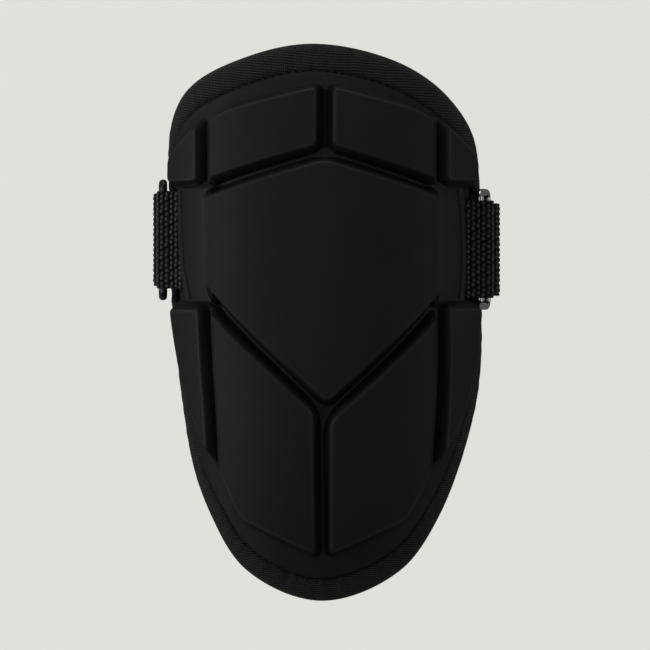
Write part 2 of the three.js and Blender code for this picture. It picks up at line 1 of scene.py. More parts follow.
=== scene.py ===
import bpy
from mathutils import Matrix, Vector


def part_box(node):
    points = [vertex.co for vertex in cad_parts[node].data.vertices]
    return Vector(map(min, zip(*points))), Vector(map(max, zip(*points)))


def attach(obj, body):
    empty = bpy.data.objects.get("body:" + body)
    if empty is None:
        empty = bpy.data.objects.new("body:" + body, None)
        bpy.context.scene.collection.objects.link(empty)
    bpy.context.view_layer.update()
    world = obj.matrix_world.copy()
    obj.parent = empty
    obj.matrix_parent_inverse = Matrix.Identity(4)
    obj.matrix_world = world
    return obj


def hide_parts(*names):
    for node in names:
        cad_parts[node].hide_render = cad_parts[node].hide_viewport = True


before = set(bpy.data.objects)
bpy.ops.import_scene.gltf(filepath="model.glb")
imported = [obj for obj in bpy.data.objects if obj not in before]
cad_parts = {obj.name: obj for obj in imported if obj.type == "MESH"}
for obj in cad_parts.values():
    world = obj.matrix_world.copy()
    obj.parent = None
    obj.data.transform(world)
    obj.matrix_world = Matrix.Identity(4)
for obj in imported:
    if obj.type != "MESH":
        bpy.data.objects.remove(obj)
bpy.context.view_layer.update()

import math

import bpy
import numpy as np
from bpy.props import FloatProperty, FloatVectorProperty, IntProperty, PointerProperty
from mathutils import Vector
from mathutils.geometry import delaunay_2d_cdt

bl_info = {
    "name": "Baseball elbow guard",
    "version": (1, 0, 0),
    "blender": (4, 5, 0),
    "location": "View3D > Sidebar > Elbow guard",
    "description": "Builds a padded elbow guard with its straps and rings over its CAD frame",
    "category": "Object",
}

MM = 0.001
BODY = "root"
SIDES = {"left": -1, "right": 1}

# The arched shell, as in the CAD
HALF_LENGTH = 114.1
ARCH_HALF_WIDTH = 60
CREST_HEIGHT = 59
QUARTER_ARC = ARCH_HALF_WIDTH * math.pi / 2
BACKING_THICKNESS = 6
RIM_WIDTH = 12
RIM_WIDTH_FOOT = 10
RIM_RISE = 3
CLEARANCE = 0.3
SHEET_TOP = 3.0
# Along in half lengths; reach to the left and right in half widths; depth and crest in crest heights
ARCH = np.array([
    (-1.0, 0.9, 0.9, 0.76, 0.56), (-0.79, 0.9, 0.91, 0.88, 0.73), (-0.64, 0.905, 0.93, 0.94, 0.823),
    (-0.46, 0.92, 0.965, 0.985, 0.907), (-0.28, 0.945, 0.998, 0.995, 0.959),
    (-0.15, 0.97, 1.012, 0.972, 0.983), (0.09, 1.005, 1.015, 0.835, 0.999),
    (0.25, 1.01, 1.005, 0.83, 1.0), (0.44, 1.02, 1.005, 0.83, 0.988), (0.6, 1.03, 1.005, 0.83, 0.962),
    (0.8, 1.03, 1.0, 0.81, 0.899), (1.0, 1.03, 1.0, 0.78, 0.797),
])
# The edge of the backing: along, then how far round it goes at the left and right in quarter turns
OUTLINE = [
    (1.0, -0.05, -0.05), (0.945, -0.375, 0.305), (0.8, -0.785, 0.655), (0.6, -1.0, 0.944),
    (0.25, -1.056, 1.044), (-0.12, -1.011, 1.011), (-0.46, -0.856, 0.811), (-0.7, -0.635, 0.625),
    (-0.89, -0.4, 0.39), (-1.0, -0.011, -0.011),
]
STRAP_ALONG = {-1: 0.297, 1: 0.263}

# The moulded blocks. A cell's lines run along the middle of the grooves.
SIDE_GROOVE = 0.52
RECESS_MIDDLE = 31.948
RECESS_HALF = 23.54
RECESS_TOP = (RECESS_MIDDLE + RECESS_HALF) / HALF_LENGTH
RECESS_FOOT = (RECESS_MIDDLE - RECESS_HALF) / HALF_LENGTH
TOP_CELL = [(0, 0.605), (SIDE_GROOVE, 0.473), (SIDE_GROOVE, 0.73), (0.43, 0.775), (0, 0.865)]
TOP_GROOVE = 0.012
CENTRE_CELL = [
    (0.021, -0.3165), (SIDE_GROOVE, 0.084), (SIDE_GROOVE, 0.473), (0.012, 0.605), (-SIDE_GROOVE, 0.473),
    (-SIDE_GROOVE, 0.109),
]
LOWER_CELL = [(0, -0.85), (0.4, -0.71), (SIDE_GROOVE, -0.53)]
LOWER_TOP = {-1: [(SIDE_GROOVE, 0.109), (0, -0.3)], 1: [(SIDE_GROOVE, 0.084), (0, -0.333)]}
SIDE_CELLS = [
    [(SIDE_GROOVE, RECESS_TOP - 0.01), (0.815, RECESS_TOP - 0.01), (0.8, 0.6), (SIDE_GROOVE, 0.755)],
    [(SIDE_GROOVE, -0.56), (0.71, -0.31), (0.78, -0.14), (0.83, RECESS_FOOT + 0.01),
     (SIDE_GROOVE, RECESS_FOOT + 0.01)],
]
# How deep inside its cell a block's wall starts, is steep from and to, and ends
WALL = (0.3, 0.8, 3.0, 4.0)
CORNER_REACH = 5.2
GROOVE_REACH = 4.6
FACE_ROUNDING = 1.4
CREASE_BLEND = 1.4
SCORE_WIDTH = 0.75
SCORE_DEPTH = 0.8
# Where the border turns into a notch: how round, and how many of its points make way
NOTCH_CORNER = 1.6
NOTCH_SKIP = 5
# How far from the webbing's edge foam and padding still give way
PRESS_REACH = 3

# Where the mesh of the face has lines: inside its border and its cells, beside the scores and the creases
BORDER_STEPS = (0.15, 0.4, 0.75, 1.15, 1.6, 2.4)
WALL_LINES = (0.3, 0.45, 0.6, 0.8, 1.2, 1.8, 2.4, 2.8, 3.0, 3.2, 3.4, 3.6, 3.8, 4.0, 5.0)
SCORE_STEPS = (-1.8, -1.2, -0.75, -0.35, 0, 0.35, 0.75, 1.2, 1.8)
CREASE_STEPS = (-1.4, -1.1, -0.7, -0.3, 0, 0.5, 1.2)

# The backing's rim from the seam outwards: share of the way, height. Its puckers: waves, weight, phase.
RIM_PROFILE = ((1, 0.0), (1, 0.7), (0.995, 1.25), (0.97, 1.7), (0.93, 2.05), (0.85, 2.4), (0.7, 2.68),
               (0.5, 2.86), (0.25, 2.97))
RIM_WAVES = ((83, 0.5, 0.4), (61, 0.35, 2.1), (127, 0.3, 1.3), (29, 0.3, 5.0))
# How far from the seam the painted shade on the knit reaches
TUCK_SHADE_WIDTH = 0.8
STITCH_SLANT = 24
STITCH_HEIGHT = 1.35

# The centre block's sloping sides, and the lips that they end in over the strap: v in mm, then across
CREASE = SIDE_GROOVE * QUARTER_ARC - 4.7
WING_HALF = RECESS_HALF + 2.8
WING_DROP = 4
WING_REACH = {-1: 0.815, 1: 0.755}
LIP = {
    -1: np.array([(8.0, 0.672), (14.0, 0.695), (23.6, 0.74), (33.8, 0.755), (56.0, 0.752)]),
    1: np.array([(8.0, 0.69), (19.0, 0.722), (30.0, 0.733), (43.0, 0.722), (56.0, 0.69)]),
}
SCORE_INSET = 5.4

# Webbing and rings
TAB_WIDTH = 40
TAB_THICKNESS = 1.4
TAB_LAYER_GAP = 0.3
STRAP_WIDTH = 38
STRAP_THICKNESS = 1.5
RING_LENGTH = 49.6
RING_SPACING = 14.2
RING_WIRE = 3
RING_CORNER = 2.5
RING_HEIGHT = 4.6
RING_STANDOFF = {-1: 3.6, 1: 2.7}
RING_LEAN = {-1: 4.5, 1: 11}
TAB_SLACK = {-1: 0, 1: 1.5}
STRAP_SLACK = {-1: 0.65, 1: 1.1}
PATCH = (40, 34, 1.2)
LAYER_LOW = 0.75
LAYER_RETURN = 2.55
LAYER_HIGH = 4.05

# Where the soft lights are and how wide, in metres
LIGHTS = {
    "side": ((-1.3, 0, 0.25), 0.8), "high": ((-1.1, 0, 0.8), 0.8), "corner": ((-0.8, 0.8, 0.8), 0.8),
    "head": ((0, 1.3, 0.25), 0.8), "right": ((1.3, 0, 0.25), 0.8), "over": ((0, 0, 1.6), 1.0),
}


# ---- The shell's surface -------------------------------------------------------------------------

def hermite(start, end, slope_start, slope_end, share):
    """A cubic from start to end at these shares, with its slopes given per whole share"""
    square, cube = share**2, share**3
    return (
        (2 * cube - 3 * square + 1) * start + (cube - 2 * square + share) * slope_start
        + (3 * square - 2 * cube) * end + (cube - square) * slope_end
    )


def smooth_rows(knots, rows, at):
    """The rows' values at any place along the knots, on one smooth curve"""
    at = np.clip(at, knots[0], knots[-1])
    i = np.clip(np.searchsorted(knots, at, side="right") - 1, 0, len(knots) - 2)
    span = np.diff(knots)[:, None]
    chords = np.diff(rows, axis=0) / span
    slopes = np.vstack([chords[:1], (chords[1:] + chords[:-1]) / 2, chords[-1:]])
    share = ((at - knots[i]) / span[i, 0])[:, None]
    return hermite(rows[i], rows[i + 1], slopes[i] * span[i], slopes[i + 1] * span[i], share)


def arch_point(across, along):
    """Points of the backing's top surface. Across counts quarter turns from the crest."""
    left, right, depth, crest = smooth_rows(ARCH[:, 0], ARCH[:, 1:], along).T
    turn = across * math.pi / 2
    reach = np.where(across < 0, left, right)
    x = ARCH_HALF_WIDTH * reach * np.sin(turn)
    z = CREST_HEIGHT * (crest - depth * (1 - np.cos(turn)))
    return np.stack([x, along * HALF_LENGTH, z], axis=1)


def arch_normal(across, along):
    step = 1e-3
    across_way = arch_point(across + step, along) - arch_point(across - step, along)
    along_way = arch_point(across, along + step) - arch_point(across, along - step)
    return unit(np.cross(across_way, along_way))


def unit(vectors):
    return vectors / np.linalg.norm(vectors, axis=1, keepdims=True)


def bent(flat, height):
    """Bends points of the flat pattern round the arch, and gives the way out of it too"""
    across, along = flat[:, 0] / QUARTER_ARC, flat[:, 1] / HALF_LENGTH
    normals = arch_normal(across, along)
    return arch_point(across, along) + normals * np.reshape(height, (-1, 1)), normals


def closed_curve(knots, count):
    """Equally spaced points on the smooth closed curve through these knots"""
    before, after, beyond = (np.roll(knots, shift, 0) for shift in (1, -1, -2))
    gap_before, gap, gap_after = (
        np.sqrt(np.linalg.norm(b - a, axis=1))[:, None]
        for a, b in ((before, knots), (knots, after), (after, beyond))
    )
    slope_start, slope_end = (
        (b - a) / first - (c - a) / (first + second) + (c - b) / second
        for a, b, c, first, second in (
            (before, knots, after, gap_before, gap), (knots, after, beyond, gap, gap_after),
        )
    )
    shares = np.linspace(0, 1, 100, endpoint=False)[:, None, None]
    points = hermite(knots, after, slope_start * gap, slope_end * gap, shares)
    return evenly(points.transpose(1, 0, 2).reshape(-1, 2), count, closed=True)


def evenly(line, count, closed=False):
    """A line's points set at equal distances"""
    if closed:
        line = np.vstack([line, line[:1]])
    reach = np.concatenate([[0], np.cumsum(np.linalg.norm(np.diff(line, axis=0), axis=1))])
    places = np.linspace(0, reach[-1], count, endpoint=not closed)
    return np.stack([np.interp(places, reach, line[:, k]) for k in range(line.shape[1])], axis=1)


def inset(outline, distance):
    """An anticlockwise outline moved inwards"""
    ways = unit(np.roll(outline, -1, 0) - outline)
    inward = np.stack([-ways[:, 1], ways[:, 0]], axis=1)
    before = np.roll(inward, 1, 0)
    mitre = np.reshape(distance, (-1, 1)) / (1 + (inward * before).sum(1, keepdims=True))
    return outline + (inward + before) * mitre


def flat_cell(cell, side=1, inner=0):
    """A cell's corners in mm, anticlockwise, mirrored for the left side, with its inner edge moved"""
    corners = np.array([(across or inner, along) for across, along in cell])
    corners = corners * (side * QUARTER_ARC, HALF_LENGTH)
    return corners if side > 0 else corners[::-1]


def guard_edge(count):
    knots = [(right, along) for along, _, right in reversed(OUTLINE)]
    knots += [(left, along) for along, left, _ in OUTLINE[1:-1]]
    return closed_curve(np.array(knots) * (QUARTER_ARC, HALF_LENGTH), count)


def rim_width(v):
    share = np.clip(-v / HALF_LENGTH, 0, 1)
    return RIM_WIDTH + (RIM_WIDTH_FOOT - RIM_WIDTH) * share


def in_parts(measure, points, size=1500):
    return np.concatenate([measure(points[i:i + size]) for i in range(0, max(len(points), 1), size)])


def is_inside(border, points):
    """Which points lie inside a closed border"""
    (x0, y0), (x1, y1) = border.T, np.roll(border, -1, 0).T
    rise = np.where(y1 == y0, 1, y1 - y0)

    def crossings(some):
        x, y = some[:, :1], some[:, 1:]
        return (((y0 > y) != (y1 > y)) & (x < (x1 - x0) * (y - y0) / rise + x0)).sum(1) % 2 == 1

    return in_parts(crossings, points)


def distance_to(line, points, closed=False):
    """How far each point is from a line, in two or three dimensions"""
    ends = np.roll(line, -1, 0) if closed else line[1:]
    starts = line if closed else line[:-1]
    ways = ends - starts
    squares = np.maximum((ways**2).sum(1), 1e-12)

    def measure(some):
        offsets = some[:, None] - starts
        share = np.clip((offsets * ways).sum(2) / squares, 0, 1)
        return np.sqrt(((offsets - share[..., None] * ways) ** 2).sum(2).min(1))

    return in_parts(measure, points)


def bell(distance, width):
    """1 at no distance, falling smoothly on both sides"""
    return np.exp(-((distance / width) ** 2))


def fade(distance, width):
    """1 up to no distance, then smoothly down to 0 at this width"""
    share = np.clip(1 - distance / width, 0, 1)
    return share * share * (3 - 2 * share)


# ---- The moulded relief --------------------------------------------------------------------------

def block_cells():
    cells = [flat_cell(CENTRE_CELL)]
    for side in SIDES.values():
        cells.append(flat_cell(TOP_CELL, side, side * TOP_GROOVE))
        cells += [flat_cell(cell, side) for cell in (LOWER_CELL + LOWER_TOP[side], *SIDE_CELLS)]
    return cells


def inside_depth(cell, points):
    """How deep inside a cell the points lie, with rounded corners"""
    ways = unit(np.roll(cell, -1, 0) - cell)
    depths = points - cell[:, None]
    depths = depths[..., 1] * ways[:, None, 0] - depths[..., 0] * ways[:, None, 1]
    shallow = np.maximum(CORNER_REACH - depths, 0)
    return np.maximum(depths.min(0), CORNER_REACH) - np.sqrt((shallow**2).sum(0))


def wall_share(depth):
    """How much of its height a block has at a depth inside its cell"""
    start, steep, brow, end = WALL
    rising = np.clip(depth, start, steep) - start
    falling = np.clip(depth, brow, end) - brow
    area = rising**2 / (2 * (steep - start)) + np.clip(depth, steep, brow) - steep
    area += falling - falling**2 / (2 * (end - brow))
    return area / ((steep - start) / 2 + brow - steep + (end - brow) / 2)


def lip_at(side, v):
    """How far out the lip over the strap lies, in mm round the arch"""
    return smooth_rows(LIP[side][:, 0], LIP[side][:, 1:], v)[:, 0] * QUARTER_ARC


def face_height(points, cells, rise):
    """Height of the moulded face over the backing"""
    u, v = points.T
    height = np.full(len(points), SHEET_TOP)
    for cell in cells:
        height = np.maximum(height, SHEET_TOP + rise * wall_share(inside_depth(cell, points)))
    share = wall_share(WING_HALF - np.abs(v - RECESS_MIDDLE))
    for side in SIDES.values():
        past = side * u - CREASE
        soft = (past + np.sqrt(past**2 + 0.5)) / 2
        drop = WING_DROP * soft / (WING_REACH[side] * QUARTER_ARC - CREASE)
        wing = SHEET_TOP + share * (rise - drop) * fade(-past, CREASE_BLEND)
        height = np.maximum(height, wing)
        from_lip = lip_at(side, v) - side * u
        height -= SCORE_DEPTH * score_line(from_lip, v)
    return height


def score_line(from_lip, v):
    """The line pressed along a lip, from 0 to 1"""
    within = fade(np.abs(v - RECESS_MIDDLE) - RECESS_HALF + 2, 2)
    return bell(from_lip - SCORE_INSET, SCORE_WIDTH) * within


def relief_lines(border, cells):
    """The lines that the face's mesh follows, each with whether it is closed"""
    lines = [(inset(border, reach), True) for reach in BORDER_STEPS]
    lines += [(depth_line(cell, depth), True) for cell in cells for depth in WALL_LINES]
    levels, wing_levels = (np.linspace(RECESS_MIDDLE - half + 0.5, RECESS_MIDDLE + half - 0.5, 70)
                           for half in (RECESS_HALF, WING_HALF))
    for side in SIDES.values():
        lip = lip_at(side, levels)
        for reach in SCORE_STEPS:
            lines.append((np.stack([side * (lip - SCORE_INSET - reach), levels], axis=1), False))
        for past in CREASE_STEPS:
            crease = np.full(len(wing_levels), side * (CREASE + past))
            lines.append((np.stack([crease, wing_levels], axis=1), False))
        u = side * np.arange(CREASE - 1, 80, 1.0)
        for depth in WALL_LINES:
            for way in (-1, 1):
                v = np.full(len(u), RECESS_MIDDLE + way * (WING_HALF - depth))
                lines.append((np.stack([u, v], axis=1), False))
    return lines


def edge_marks(points, cells):
    """Where the blocks' top edges run, as painted highlight, and where the grooves are, as painted shade,
    from 0 to 1
    """
    next_depth, depth = np.sort([inside_depth(cell, points) for cell in cells], axis=0)[-2:]
    between = fade(-next_depth - np.abs(depth) - 1, 3)
    off_middle, along = np.abs(points[:, 0]), points[:, 1] / HALF_LENGTH
    past = off_middle - SIDE_GROOVE * QUARTER_ARC
    upright = (np.abs(past) < GROOVE_REACH) | (off_middle < 6)
    # brow paints highlights along the blocks' top edges and a light line on the floor between two blocks;
    # groove paints shade on the groove walls, less on their floors
    brow = bell(depth - WALL[3] + 0.3, 0.36) * np.where(upright, 1, 1 - 0.5 * between)
    brow += 0.8 * between * bell(depth, 0.4)
    groove = fade(depth - 1.0, 3.6) * (1 - 0.75 * fade(depth - 0.2, 0.7)) * fade(-depth - 0.1, 0.9)
    groove *= 0.5 + 0.5 * between
    # A side groove gets painted shade on its outer wall, then a painted highlight, with a thin line of
    # painted shade at the inner block
    beside = fade(np.abs(depth - np.abs(past)), 1.2) * (np.abs(past) < GROOVE_REACH)
    within = np.where(np.abs(points[:, 1] - RECESS_MIDDLE) < WING_HALF, 0.3, 1)
    wall = fade(past - 0.9, 3.2) * (1 - fade(past + 0.4, 1.3)) + 0.55 * bell(past + 3.8, 0.4)
    shine = np.where(past > 0, brow, 0) + 0.9 * bell(past + 0.3, 0.8)
    groove += (wall * within - groove) * beside
    brow += (shine * within - brow) * beside
    # The groove between the top blocks gets painted shade over its whole width
    middle = fade(np.abs(points[:, 0] - TOP_GROOVE * QUARTER_ARC) - 2.5, 0.9)
    return brow, np.maximum(groove, middle * (along > 0.62) * (along < 0.83))


def depth_line(cell, depth):
    """The line at one depth inside a cell"""
    middle = cell.mean(0)
    rim = evenly(cell, int(np.linalg.norm(cell - np.roll(cell, 1, 0), axis=1).sum()), closed=True)
    low, high = np.zeros(len(rim)), np.ones(len(rim))
    for _ in range(24):
        share = (low + high) / 2
        deeper = inside_depth(cell, middle + (rim - middle) * share[:, None]) > depth
        low, high = np.where(deeper, share, low), np.where(deeper, high, share)
    return middle + (rim - middle) * low[:, None]


def rounded(corners, radius, steps=5):
    """An open or closed run of corners with their turns rounded"""
    points = [corners[0]]
    for before, corner, after in zip(corners, corners[1:], corners[2:]):
        reach = [min(radius / max(np.linalg.norm(p - corner), 1e-9), 0.5) for p in (before, after)]
        start, end = corner + (before - corner) * reach[0], corner + (after - corner) * reach[1]
        for t in np.linspace(0, 1, steps):
            points.append((1 - t) ** 2 * start + 2 * t * (1 - t) * corner + t * t * end)
    return np.array([*points, corners[-1]])


def face_border(edge):
    """The face's outline, with the notch on each side that the strap comes out of"""
    border = inset(edge, rim_width(edge[:, 1]))
    low, high = RECESS_MIDDLE - RECESS_HALF, RECESS_MIDDLE + RECESS_HALF
    levels = np.linspace(low, high, 40)
    for side in SIDES.values():
        cut = (side * border[:, 0] > 0) & (border[:, 1] > low) & (border[:, 1] < high)
        first = np.flatnonzero(cut & ~np.roll(cut, 1))[0]
        border = np.roll(border, -first, 0)
        left_out = int(cut.sum())
        lip = np.stack([side * lip_at(side, levels), levels], axis=1)[::side]
        ends = border[[0, left_out - 1]].copy()
        ends[:, 1] = lip[[0, -1], 1]
        kept = border[left_out + NOTCH_SKIP:len(border) - NOTCH_SKIP]
        start = rounded(np.vstack([kept[-1], ends[0], lip[0]]), NOTCH_CORNER)[1:]
        end = rounded(np.vstack([lip[-1], ends[1], kept[0]]), NOTCH_CORNER)[:-1]
        border = np.vstack([start[:-1], lip[1:-1], end[1:], kept])
    return evenly(border, 720, closed=True)


def filled(border, lines=(), points=None):
    """Triangles that fill a border and follow the lines inside it. The border's points come first."""
    coords, edges = [border], [(i, (i + 1) % len(border)) for i in range(len(border))]
    count = len(border)
    for line, closed in lines:
        kept = is_inside(border, line)
        for i in range(len(line) - (not closed)):
            after = (i + 1) % len(line)
            if kept[i] and kept[after]:
                edges.append((count + i, count + after))
        coords.append(line)
        count += len(line)
    if points is not None:
        coords.append(points[is_inside(border, points)])
    coords = np.vstack(coords)
    made = delaunay_2d_cdt([Vector(p) for p in coords], edges, [], 1, 1e-4, True)
    flat, faces, origins = np.array([tuple(p) for p in made[0]]), np.array(made[2]), made[3]
    place = np.full(len(flat), -1)
    for i, found in enumerate(origins):
        if found and min(found) < len(border):
            place[i] = min(found)
    free = np.flatnonzero(place < 0)
    place[free] = len(border) + np.arange(len(free))
    ordered = np.empty_like(flat)
    ordered[place] = flat
    faces = place[faces]
    keep = is_inside(border, ordered[faces].mean(1))
    return ordered, faces[keep]


def grid_points(border, step):
    """Points in staggered rows over a border's box"""
    low, high = border.min(0), border.max(0)
    rows = np.arange(low[1], high[1], step * 0.87)
    columns = np.arange(low[0], high[0], step)
    u, v = np.meshgrid(columns, rows)
    u = u + (np.arange(len(rows)) % 2)[:, None] * step / 2
    return np.stack([u.ravel(), v.ravel()], axis=1)


def away_from(points, lines, least):
    """The points that keep at least this far from every line's points"""
    cells = np.vstack(lines) // least
    taken = set(map(tuple, cells.astype(int)))
    keep = [not any((cu + i, cv + j) in taken for i in (-1, 0, 1) for j in (-1, 0, 1))
            for cu, cv in (points // least).astype(int)]
    return points[keep]


# ---- Webbing paths -------------------------------------------------------------------------------

def side_middle(side):
    return HALF_LENGTH * STRAP_ALONG[side]


def ring_bars(side):
    """The middles of a ring's lower and upper bars, in x and z"""
    along = np.array([STRAP_ALONG[side]])
    rim = abs(arch_point(np.array([float(side)]), along)[0, 0]) + RIM_RISE
    lean = math.radians(RING_LEAN[side])
    lower = np.array([side * (rim + RING_STANDOFF[side]), RING_HEIGHT])
    return lower, lower + RING_SPACING * np.array([-side * math.sin(lean), math.cos(lean)])


def spline(knots, count):
    """An open smooth curve through the knots"""
    padded = np.vstack([knots[:1], knots, knots[-1:]])
    slopes = (padded[2:] - padded[:-2]) / 2
    share = np.linspace(0, 1, count, endpoint=False)[:, None, None]
    points = hermite(knots[:-1], knots[1:], slopes[:-1], slopes[1:], share)
    return np.vstack([points.transpose(1, 0, 2).reshape(-1, 2), knots[-1:]])


def shifted(path, distance):
    """A path moved sideways, to its left where the distance is positive"""
    ways = unit(np.gradient(path, axis=0))
    return path + np.stack([-ways[:, 1], ways[:, 0]], axis=1) * distance


def tab_middle(side):
    """The middle of a tab's doubled part, then the middle and radius of its loop"""
    along = np.full(5, STRAP_ALONG[side])
    sewn = arch_point(side * np.linspace(0.6, 0.73, 5), along)[:, [0, 2]]
    centre = ring_bars(side)[1] + (side * TAB_SLACK[side], 0)
    radius = RING_WIRE / 2 + CLEARANCE + TAB_THICKNESS / 2 + TAB_SLACK[side]
    towards = (centre - sewn[-1]) / np.linalg.norm(centre - sewn[-1])
    free = centre - towards * 3 * radius
    middle = spline(np.vstack([sewn, (sewn[-1] + free) / 2, free]), 12)
    return middle, centre, radius, towards


def tab_path(side):
    middle, centre, radius, towards = tab_middle(side)
    out = side * (TAB_THICKNESS + TAB_LAYER_GAP) / 2
    away = np.array([-towards[1], towards[0]]) * side
    turn = np.linspace(0, math.pi, 33)[:, None]
    loop = centre + radius * (away * np.cos(turn) + towards * np.sin(turn))
    return np.vstack([shifted(middle, out), loop, shifted(middle, -out)[::-1]])


def strap_loop(side):
    radius = RING_WIRE / 2 + CLEARANCE + STRAP_THICKNESS / 2 + STRAP_SLACK[side]
    lower, height = ring_bars(side)[0], radius + STRAP_THICKNESS / 2
    out = math.sqrt(max(STRAP_SLACK[side] ** 2 - (lower[1] - height) ** 2, 0))
    return np.array([lower[0] + side * out, height]), radius


def strap_path():
    left, right = -ring_bars(-1)[0][0], ring_bars(1)[0][0]

    def arc(side, start, end):
        centre, radius = strap_loop(side)
        turn = np.radians(np.linspace(start, end, 41))[:, None]
        return centre + radius * np.hstack([np.cos(turn), np.sin(turn)])

    rise = np.linspace(0, 1, 25)
    ease = rise * rise * (3 - 2 * rise)
    ramp = np.stack([
        -0.24 * left + rise * (0.06 * right + 0.24 * left), LAYER_LOW + (LAYER_HIGH - LAYER_LOW) * ease,
    ], axis=1)
    return np.vstack([
        [(-0.6 * left, LAYER_RETURN), (-0.9 * left, LAYER_RETURN)], arc(-1, 30, 270), ramp,
        [(0.92 * right, LAYER_HIGH)], arc(1, 150, -90), [(0.08 * right, LAYER_LOW)],
    ])


def strap_middle(x):
    left, right = ring_bars(-1)[0][0], ring_bars(1)[0][0]
    share = (x - left) / (right - left)
    return side_middle(-1) + (side_middle(1) - side_middle(-1)) * share


def ring_line(side):
    """The middle line of a ring's wire, in space"""
    lower, upper = ring_bars(side)
    half, middle = (RING_LENGTH - RING_WIRE) / 2, side_middle(side)
    corners = [(lower, -half), (upper, -half), (upper, half), (lower, half)]
    points = np.array([(bar[0], middle + y, bar[1]) for bar, y in corners])
    start = (points[0] + points[1]) / 2
    return rounded(np.vstack([start, points[1:], points[:1], start]), RING_CORNER)


def pressed(points, normals, way):
    """Foam and padding that give way to the tabs, inwards or outwards, and then to the rings, inwards"""
    for side in SIDES.values():
        middle, centre, radius, _ = tab_middle(side)
        line = np.vstack([middle, centre])
        thick = np.full(len(line), TAB_THICKNESS + TAB_LAYER_GAP / 2 + CLEARANCE)
        thick[-1] = radius + TAB_THICKNESS / 2 + CLEARANCE
        near = np.abs(points[:, 0] - centre[0]) < 40
        moved = points[near].copy()
        for _ in range(8):
            moved += way * normals[near] * depth_in(line, thick, moved[:, [0, 2]])[:, None]
        past = np.abs(points[near, 1] - side_middle(side)) - TAB_WIDTH / 2 - CLEARANCE
        some = points[near] + (moved - points[near]) * fade(past, PRESS_REACH)[:, None]
        ring = ring_line(side)
        for _ in range(6):
            overlap = RING_WIRE / 2 + CLEARANCE - distance_to(ring, some)
            some -= normals[near] * np.maximum(overlap, 0)[:, None]
        points[near] = some
    return points


def depth_in(line, thick, points):
    """How deep points lie in a band that tapers along a line, or 0 outside it"""
    ways = line[1:] - line[:-1]
    offsets = points[:, None] - line[:-1]
    share = np.clip((offsets * ways).sum(2) / (ways**2).sum(1), 0, 1)
    reach = thick[:-1] + share * (thick[1:] - thick[:-1])
    distance = np.sqrt(((offsets - share[..., None] * ways) ** 2).sum(2))
    return np.maximum(reach - distance, 0).max(1)


# ---- Meshes --------------------------------------------------------------------------------------

def new_piece(name, points, faces, material, flat=None, marks=None):
    """A smooth mesh piece from points in mm, with its pattern's own UVs and marks for its material"""
    mesh = bpy.data.meshes.new(name)
    mesh.from_pydata((np.asarray(points) * MM).tolist(), [], [list(map(int, face)) for face in faces])
    corners = np.empty(len(mesh.loops), dtype=np.int32)
    mesh.loops.foreach_get("vertex_index", corners)
    if flat is not None:
        layer = mesh.uv_layers.new(name="pattern")
        layer.data.foreach_set("uv", (np.asarray(flat)[corners] * MM).astype(np.float32).ravel())
    for mark, values in (marks or {}).items():
        attribute = mesh.attributes.new(mark, "FLOAT", "POINT")
        attribute.data.foreach_set("value", np.asarray(values, dtype=np.float32))
    mesh.polygons.foreach_set("use_smooth", np.ones(len(mesh.polygons), dtype=bool))
    mesh.validate()
    mesh.update()
    mesh.materials.append(material)
    piece = bpy.data.objects.new(name, mesh)
    bpy.context.collection.objects.link(piece)
    return piece


def settled(piece, slot, *nodes):
    """Puts a finished piece on the body and hides the CAD nodes it stands for. The slot is not used."""
    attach(piece, BODY)
    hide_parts(*nodes)
    return piece


def strips(rows, closed=True):
    """Quads between rows of vertex numbers"""
    rows = np.asarray(rows)
    after = np.roll(rows, -1, 1) if closed else rows[:, 1:]
    rows = rows if closed else rows[:, :-1]
    return np.stack([rows[:-1], after[:-1], after[1:], rows[1:]], axis=-1).reshape(-1, 4).tolist()


def weave_relief(along, across, sizes):
    """Height share of the woven floats at places along and across the webbing"""
    pick, float_pitch = sizes.pick_spacing / MM, sizes.float_spacing / MM
    height = np.zeros(np.broadcast(along, across).shape)
    nearest = np.round(along / pick)
    for row in (nearest - 1, nearest, nearest + 1):
        shift = (row % 2) * 0.5
        column = np.round(across / float_pitch - shift) + shift
        waver = 0.12 * np.sin(row * 12.9898 + column * 78.233)
        ds = (along - (row + waver * 0.5) * pick) / (0.38 * pick)
        dt = (across - (column + waver * 0.4) * float_pitch) / (0.47 * float_pitch)
        dome = np.maximum(1 - ds**2 - np.abs(dt) ** 3, 0) ** 0.8 * (1 + waver)
        height = np.maximum(height, dome)
    return height


